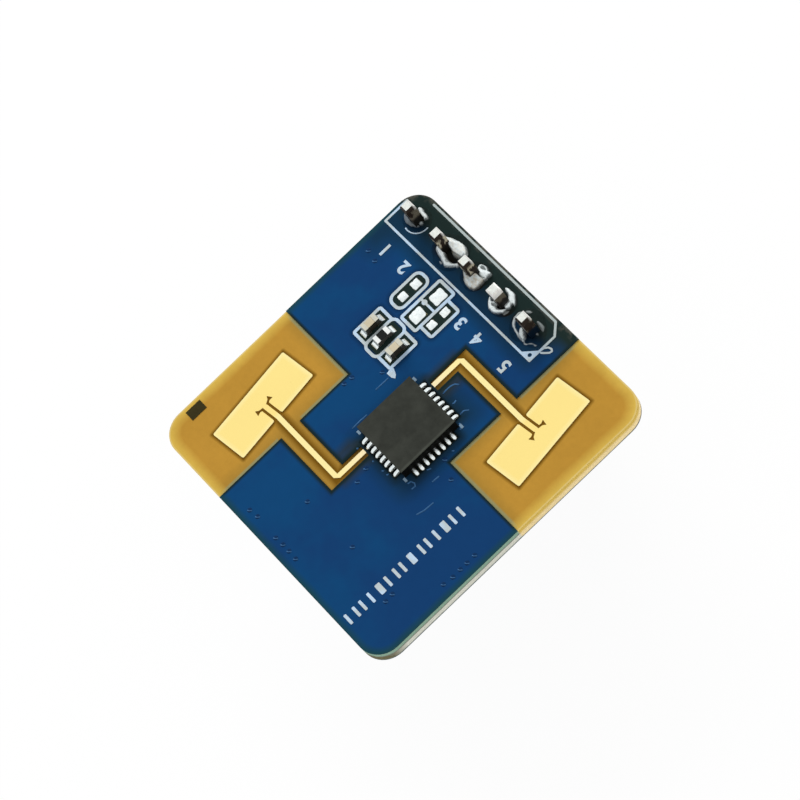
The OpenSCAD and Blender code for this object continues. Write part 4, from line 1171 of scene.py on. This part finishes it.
class RADAR_OT_marks(bpy.types.Operator):
    """Prints the pin numbers and the row of plain bars, and draws a small arc of light ink as a painted
    highlight on the first pin's pad
    """

    bl_idname = "radar.marks"
    bl_label = "Print Marks"

    DIGITS = (("1", -8.4), ("2", -6.75), ("3", -1.65), ("4", -0.2), ("5", 2.2))
    DIGIT_Y = 6.15
    # Width of each bar and of the gap after it, along the row
    BARS = (
        (0.18, 0.42), (0.18, 0.3), (0.34, 0.4), (0.18, 0.44), (0.18, 0.3), (0.18, 0.44),
        (0.34, 0.42), (0.18, 0.3), (0.18, 0.44), (0.18, 0.3), (0.34, 0.44), (0.18, 0.42),
        (0.18, 0.3), (0.18, 0.42), (0.18, 0),
    )
    BAR_X = 6.8
    BAR_START = -1.0

    def execute(self, context):
        material = light_ink("mark_ink", settings().radar_board)
        add_piece("pin_numbers", self.digits(), material)
        add_piece("printed_bars", self.bars(), material)
        # A painted highlight in light ink on the rim of the first pin's pad
        add_piece("pad_rim_highlight", self.arcs(), material)
        return {"FINISHED"}

    def digits(self):
        shape = settings().radar_mark
        meshes = []
        for text, x in self.DIGITS:
            curve = bpy.data.curves.new("digit", "FONT")
            curve.body = text
            curve.size = shape.digit / 0.7
            curve.align_x = "CENTER"
            curve.align_y = "CENTER"
            curve.extrude = shape.ink / 2
            curve.offset = shape.stroke
            curve.resolution_u = 6
            meshes.append((curve, Matrix.Translation((x * MM, self.DIGIT_Y * MM, 0))
                           @ Matrix.Rotation(math.pi, 4, "Z")))
        lift = Matrix.Translation((0, 0, MASK_TOP * MM + shape.ink / 2))
        return merged("pin_numbers", [(curve, lift @ place) for curve, place in meshes])

    def bars(self):
        """A row of plain bars in place of a line of print."""
        shape = settings().radar_mark
        built = bmesh.new()
        y = self.BAR_START
        for width, gap in self.BARS:
            made = bmesh.ops.create_grid(built, x_segments=1, y_segments=1, size=0.5)["verts"]
            bmesh.ops.scale(built, vec=(shape.bar, width * MM, 1), verts=made)
            bmesh.ops.translate(built, vec=(self.BAR_X * MM, (y - width / 2) * MM, 0), verts=made)
            y -= width + gap
        bmesh.ops.translate(built, vec=(0, 0, MASK_TOP * MM), verts=built.verts)
        bmesh.ops.bevel(
            built,
            geom=built.verts[:],
            offset=0.05 * MM,
            affect="VERTICES",
            segments=3,
            profile=0.5,
            material=-1,
        )
        raised = bmesh.ops.extrude_face_region(built, geom=built.faces[:])["geom"]
        lifted = [v for v in raised if isinstance(v, bmesh.types.BMVert)]
        bmesh.ops.translate(built, vec=(0, 0, shape.ink), verts=lifted)
        bmesh.ops.recalc_face_normals(built, faces=built.faces)
        mesh = bpy.data.meshes.new("printed_bars")
        built.to_mesh(mesh)
        built.free()
        return mesh

    def arcs(self):
        """A painted highlight: a short arc of light ink round the first pin, for the bright rim of its pad.
        """
        turns = [math.radians(-104 + 8 * i) for i in range(15)]
        first = [(PIN_X[0] + 0.8 * math.cos(turn), PIN_Y + 0.8 * math.sin(turn)) for turn in turns]
        width = settings().radar_mark.line
        return strokes("pad_rim_highlight", [first], width, settings().radar_mark.ink)


def rounded_outline(points, steps=3):
    """A smooth closed outline through a few points."""
    places = [Vector(point) for point in points]
    outline = []
    for i, here in enumerate(places):
        before, there, after = places[i - 1], places[(i + 1) % len(places)], places[(i + 2) % len(places)]
        reach = (there - here).length / 3
        leave = here + reach * (there - before).normalized()
        arrive = there - reach * (after - here).normalized()
        outline += interpolate_bezier(here, leave, arrive, there, steps + 1)[:-1]
    return outline


def inside_depth(x, y, outline):
    """Distance from a place to an outline round it, or less than 0 outside."""
    inside = False
    nearest = 9.0
    for (x0, y0), (x1, y1) in zip(outline, outline[1:] + outline[:1]):
        if (y0 > y) != (y1 > y) and x < x0 + (y - y0) * (x1 - x0) / (y1 - y0):
            inside = not inside
        along = ((x - x0) * (x1 - x0) + (y - y0) * (y1 - y0)) / ((x1 - x0) ** 2 + (y1 - y0) ** 2)
        along = min(1, max(0, along))
        gap = math.hypot(x - x0 - along * (x1 - x0), y - y0 - along * (y1 - y0))
        nearest = min(nearest, gap)
    return nearest if inside else -nearest


def merged(name, placed):
    """One mesh from curves and their places, each made a mesh before its place is applied."""
    built = bmesh.new()
    for curve, place in placed:
        holder = bpy.data.objects.new("holder", curve)
        bpy.context.scene.collection.objects.link(holder)
        found = holder.evaluated_get(bpy.context.evaluated_depsgraph_get())
        mesh = bpy.data.meshes.new_from_object(found)
        mesh.transform(place)
        built.from_mesh(mesh)
        bpy.data.objects.remove(holder)
        bpy.data.meshes.remove(mesh)
    bmesh.ops.remove_doubles(built, verts=built.verts, dist=1e-7)
    bmesh.ops.recalc_face_normals(built, faces=built.faces)
    mesh = bpy.data.meshes.new(name)
    built.to_mesh(mesh)
    built.free()
    return mesh


def strokes(name, paths, width, height):
    """Rounded strokes on the front mask, from paths in millimetres."""
    placed = []
    for path in paths:
        curve = bpy.data.curves.new("stroke", "CURVE")
        curve.dimensions = "3D"
        curve.bevel_depth = width / 2
        curve.bevel_resolution = 3
        curve.use_fill_caps = True
        line = curve.splines.new("POLY")
        line.points.add(len(path) - 1)
        for point, (x, y) in zip(line.points, path):
            point.co = (x * MM, y * MM, 0, 1)
        flatten = Matrix.Translation((0, 0, MASK_TOP * MM)) @ Matrix.Diagonal(
            (1, 1, 2 * height / width, 1)
        )
        placed.append((curve, flatten))
    return merged(name, placed)


class RADAR_OT_relief(bpy.types.Operator):
    """Raises the tented vias and the traces that show through the front mask"""

    bl_idname = "radar.relief"
    bl_label = "Raise Vias and Traces"

    # Tents over vias; each has a painted glint beside it, a light tick of raised mask
    VIAS = (
        (-3.93, -0.2), (-3.98, -0.74), (-2.84, 1.2), (-0.2, -6.67), (3.77, -6.6), (-2.33, -9.27),
        (-1.69, -9.2), (0.07, -9.27), (0.69, -9.24), (1.24, -9.24), (1.87, -9.27), (9.27, -2.2),
        (9.29, -2.77), (9.29, -3.27), (9.31, -3.84), (9.24, -4.47), (1.07, -3.97), (0.84, -3.13),
        (-9.13, 5.42), (-8.36, 5.26), (7.53, -6.8), (7.57, -7.33), (4.98, -0.26), (3.82, 0.26),
    )
    TRACES = (
        ((-2.32, 0.26), (-2.31, 0.75), (-2.3, 1.22)),
        ((-1.57, -2.14), (-1.58, -1.5), (-1.55, -1.04)),
        ((3.32, -2.09), (3.35, -1.88), (3.58, -1.79), (3.75, -1.88), (3.72, -2.14)),
        ((4.28, -1.07), (4.29, -0.79), (4.32, -0.58)),
        ((5.06, -2.91), (5.2, -2.45), (5.25, -1.8)),
        ((0.8, 2.71), (0.76, 2.98), (0.78, 3.3), (0.86, 3.53), (1.08, 3.69)),
        ((1.65, 2.68), (1.69, 2.78), (1.65, 2.96)),
        ((2.46, 2.56), (2.45, 2.86), (2.65, 3.09)),
        ((2.81, 2.21), (3.01, 2.15), (3.16, 1.99)),
        ((3.52, -0.82), (3.63, -0.6)),
        ((3.72, 0.86), (3.84, 0.96)),
        ((-0.47, -2.73), (-0.39, -2.66)),
        ((0.79, -2.6), (0.87, -2.54)),
        ((1.62, -2.6), (1.74, -2.5)),
        ((2.02, -2.58), (2.08, -2.44)),
    )

    def execute(self, context):
        shape = settings().radar_relief
        tent = Finish("tented_mask", roughness=0.4, specular=0.05)
        material = tent.paint(rgba(shape.dark), tent.grain(1500, 0.3)["Tone"])
        add_piece("tented_vias", self.tents(shape), material)
        lit = Finish("raised_mask", roughness=0.5, specular=0.05)
        material = lit.paint(rgba(shape.lit), lit.grain(2600, 0.6)["Tone"])
        # Painted glints: light ticks of raised mask beside the vias
        ticks = [
            ((x - 0.09, y - 0.1), (x + 0.02, y - 0.05), (x + 0.13, y + 0.08)) for x, y in self.VIAS
        ]
        glints = strokes("via_glints", ticks, shape.trace * 0.9, 0.03 * MM)
        add_piece("via_glints", glints, material)
        traces = strokes("raised_traces", self.TRACES, shape.trace, 0.02 * MM)
        add_piece("raised_traces", traces, material)
        return {"FINISHED"}

    def tents(self, shape):
        built = bmesh.new()
        for x, y in self.VIAS:
            made = bmesh.ops.create_uvsphere(built, u_segments=20, v_segments=10, radius=1)["verts"]
            bmesh.ops.scale(built, vec=(shape.via, shape.via, shape.rise), verts=made)
            bmesh.ops.translate(built, vec=(x * MM, y * MM, (MASK_TOP - 0.004) * MM), verts=made)
        for face in built.faces:
            face.smooth = True
        mesh = bpy.data.meshes.new("tented_vias")
        built.to_mesh(mesh)
        built.free()
        return mesh


class RADAR_OT_stage(bpy.types.Operator):
    """Sets the pale floor, the soft lights and the camera"""

    bl_idname = "radar.stage"
    bl_label = "Set Stage"

    # The camera's place in millimetres, and the directions of its right, up and back
    PLACE = (107.245, -6.266, 188.605)
    RIGHT = (0.61079, 0.72236, -0.32424)
    UP = (-0.61517, 0.69075, 0.38004)
    BACK = (0.49850, -0.03266, 0.86628)

    def execute(self, context):
        stage = settings().radar_stage
        self.set_floor(stage)
        self.set_sky(stage)
        self.set_light("key_light", (-0.42, 0.16, 0.2), 0.34, stage.key)
        self.set_light("fill_light", (0.3, -0.22, 0.3), 0.3, stage.fill)
        self.set_camera(stage)
        return {"FINISHED"}

    def set_floor(self, stage):
        built = bmesh.new()
        bmesh.ops.create_grid(built, x_segments=2, y_segments=2, size=4)
        bmesh.ops.translate(built, vec=(0, 0, CAD_BOX[0][2]), verts=built.verts)
        mesh = bpy.data.meshes.new("studio_floor")
        built.to_mesh(mesh)
        built.free()
        floor = bpy.data.objects.new("studio_floor", mesh)
        bpy.context.scene.collection.objects.link(floor)
        finish = Finish("studio_floor", roughness=0.9, specular=0.1)
        finish.paint(rgba(stage.floor))
        glow = finish.node("ShaderNodeEmission")
        glow.inputs["Color"].default_value = (1, 1, 1, 1)
        path = finish.node("ShaderNodeLightPath").outputs
        seen = finish.maths("MAXIMUM", path["Is Camera Ray"], path["Is Glossy Ray"])
        seen = finish.maths("MAXIMUM", seen, path["Is Transmission Ray"])
        share = finish.maths("MULTIPLY", seen, 0.94)
        blend = finish.node("ShaderNodeMixShader")
        finish.feed(blend.inputs[0], share)
        finish.feed(blend.inputs[1], finish.shader.outputs[0])
        finish.feed(blend.inputs[2], glow.outputs[0])
        finish.feed(finish.tree.nodes["Material Output"].inputs["Surface"], blend.outputs[0])
        mesh.materials.append(finish.material)

    def set_sky(self, stage):
        world = bpy.data.worlds.new("studio_sky")
        bpy.context.scene.world = world
        world.use_nodes = True
        tree = world.node_tree
        sky = tree.nodes["Background"]
        sky.inputs["Color"].default_value = (1, 1, 1, 1)
        path = tree.nodes.new("ShaderNodeLightPath").outputs
        seen = tree.nodes.new("ShaderNodeMath")
        seen.operation = "MAXIMUM"
        tree.links.new(path["Is Camera Ray"], seen.inputs[0])
        tree.links.new(path["Is Glossy Ray"], seen.inputs[1])
        both = tree.nodes.new("ShaderNodeMath")
        both.operation = "MAXIMUM"
        tree.links.new(seen.outputs[0], both.inputs[0])
        tree.links.new(path["Is Transmission Ray"], both.inputs[1])
        level = tree.nodes.new("ShaderNodeMapRange")
        tree.links.new(both.outputs[0], level.inputs["Value"])
        level.inputs["To Min"].default_value = stage.sky
        level.inputs["To Max"].default_value = 1
        tree.links.new(level.outputs[0], sky.inputs["Strength"])

    def set_light(self, name, place, size, power):
        light = bpy.data.lights.new(name, "AREA")
        light.size = size
        light.energy = power
        holder = bpy.data.objects.new(name, light)
        bpy.context.scene.collection.objects.link(holder)
        holder.location = place
        holder.visible_glossy = False
        holder.rotation_euler = Vector(place).to_track_quat("Z", "Y").to_euler()

    def set_camera(self, stage):
        camera = bpy.data.cameras.new("photo_camera")
        camera.lens = stage.lens
        camera.sensor_width = 36
        camera.clip_start = 0.01
        camera.clip_end = 20
        holder = bpy.data.objects.new("photo_camera", camera)
        bpy.context.scene.collection.objects.link(holder)
        turn = Matrix((self.RIGHT, self.UP, self.BACK)).transposed().to_4x4()
        place = Matrix.Translation([value * MM for value in self.PLACE])
        holder.matrix_world = place @ turn
        bpy.context.scene.camera = holder
        bpy.context.scene.view_settings.view_transform = "Standard"


class RADAR_PT_board(bpy.types.Panel):
    """Settings and steps of the radar board"""

    bl_idname = "RADAR_PT_board"
    bl_label = "Radar Board"
    bl_space_type = "VIEW_3D"
    bl_region_type = "UI"
    bl_category = "Radar Board"

    def draw(self, context):
        for title, group, operators in STEPS:
            box = self.layout.box()
            box.label(text=title)
            values = getattr(context.scene, group)
            for name in type(values).__annotations__:
                box.prop(values, name)
            for operator in operators:
                box.operator(operator)


SETTINGS = {
    "radar_board": RadarBoardSettings,
    "radar_metal": RadarMetalSettings,
    "radar_part": RadarPartSettings,
    "radar_solder": RadarSolderSettings,
    "radar_mark": RadarMarkSettings,
    "radar_relief": RadarReliefSettings,
    "radar_stage": RadarStageSettings,
}

STEPS = (
    ("Board", "radar_board", ("radar.board_finish",)),
    ("Metals", "radar_metal", ("radar.metal_finish",)),
    ("Parts", "radar_part", ("radar.part_finish",)),
    ("Solder", "radar_solder", ("radar.pin_solder",)),
    ("Print", "radar_mark", ("radar.marks",)),
    ("Relief", "radar_relief", ("radar.relief",)),
    ("Stage", "radar_stage", ("radar.stage",)),
)

CLASSES = (
    *SETTINGS.values(),
    RADAR_OT_board_finish,
    RADAR_OT_metal_finish,
    RADAR_OT_part_finish,
    RADAR_OT_pin_solder,
    RADAR_OT_marks,
    RADAR_OT_relief,
    RADAR_OT_stage,
    RADAR_PT_board,
)


def register():
    for item in CLASSES:
        bpy.utils.register_class(item)
    for name, group in SETTINGS.items():
        setattr(bpy.types.Scene, name, PointerProperty(type=group))


def unregister():
    for name in SETTINGS:
        delattr(bpy.types.Scene, name)
    for item in reversed(CLASSES):
        bpy.utils.unregister_class(item)


def main():
    register()
    bpy.ops.radar.stage()
    bpy.ops.radar.board_finish()
    bpy.ops.radar.metal_finish()
    bpy.ops.radar.part_finish()
    bpy.ops.radar.pin_solder()
    bpy.ops.radar.marks()
    bpy.ops.radar.relief()


if __name__ == "__main__":
    main()
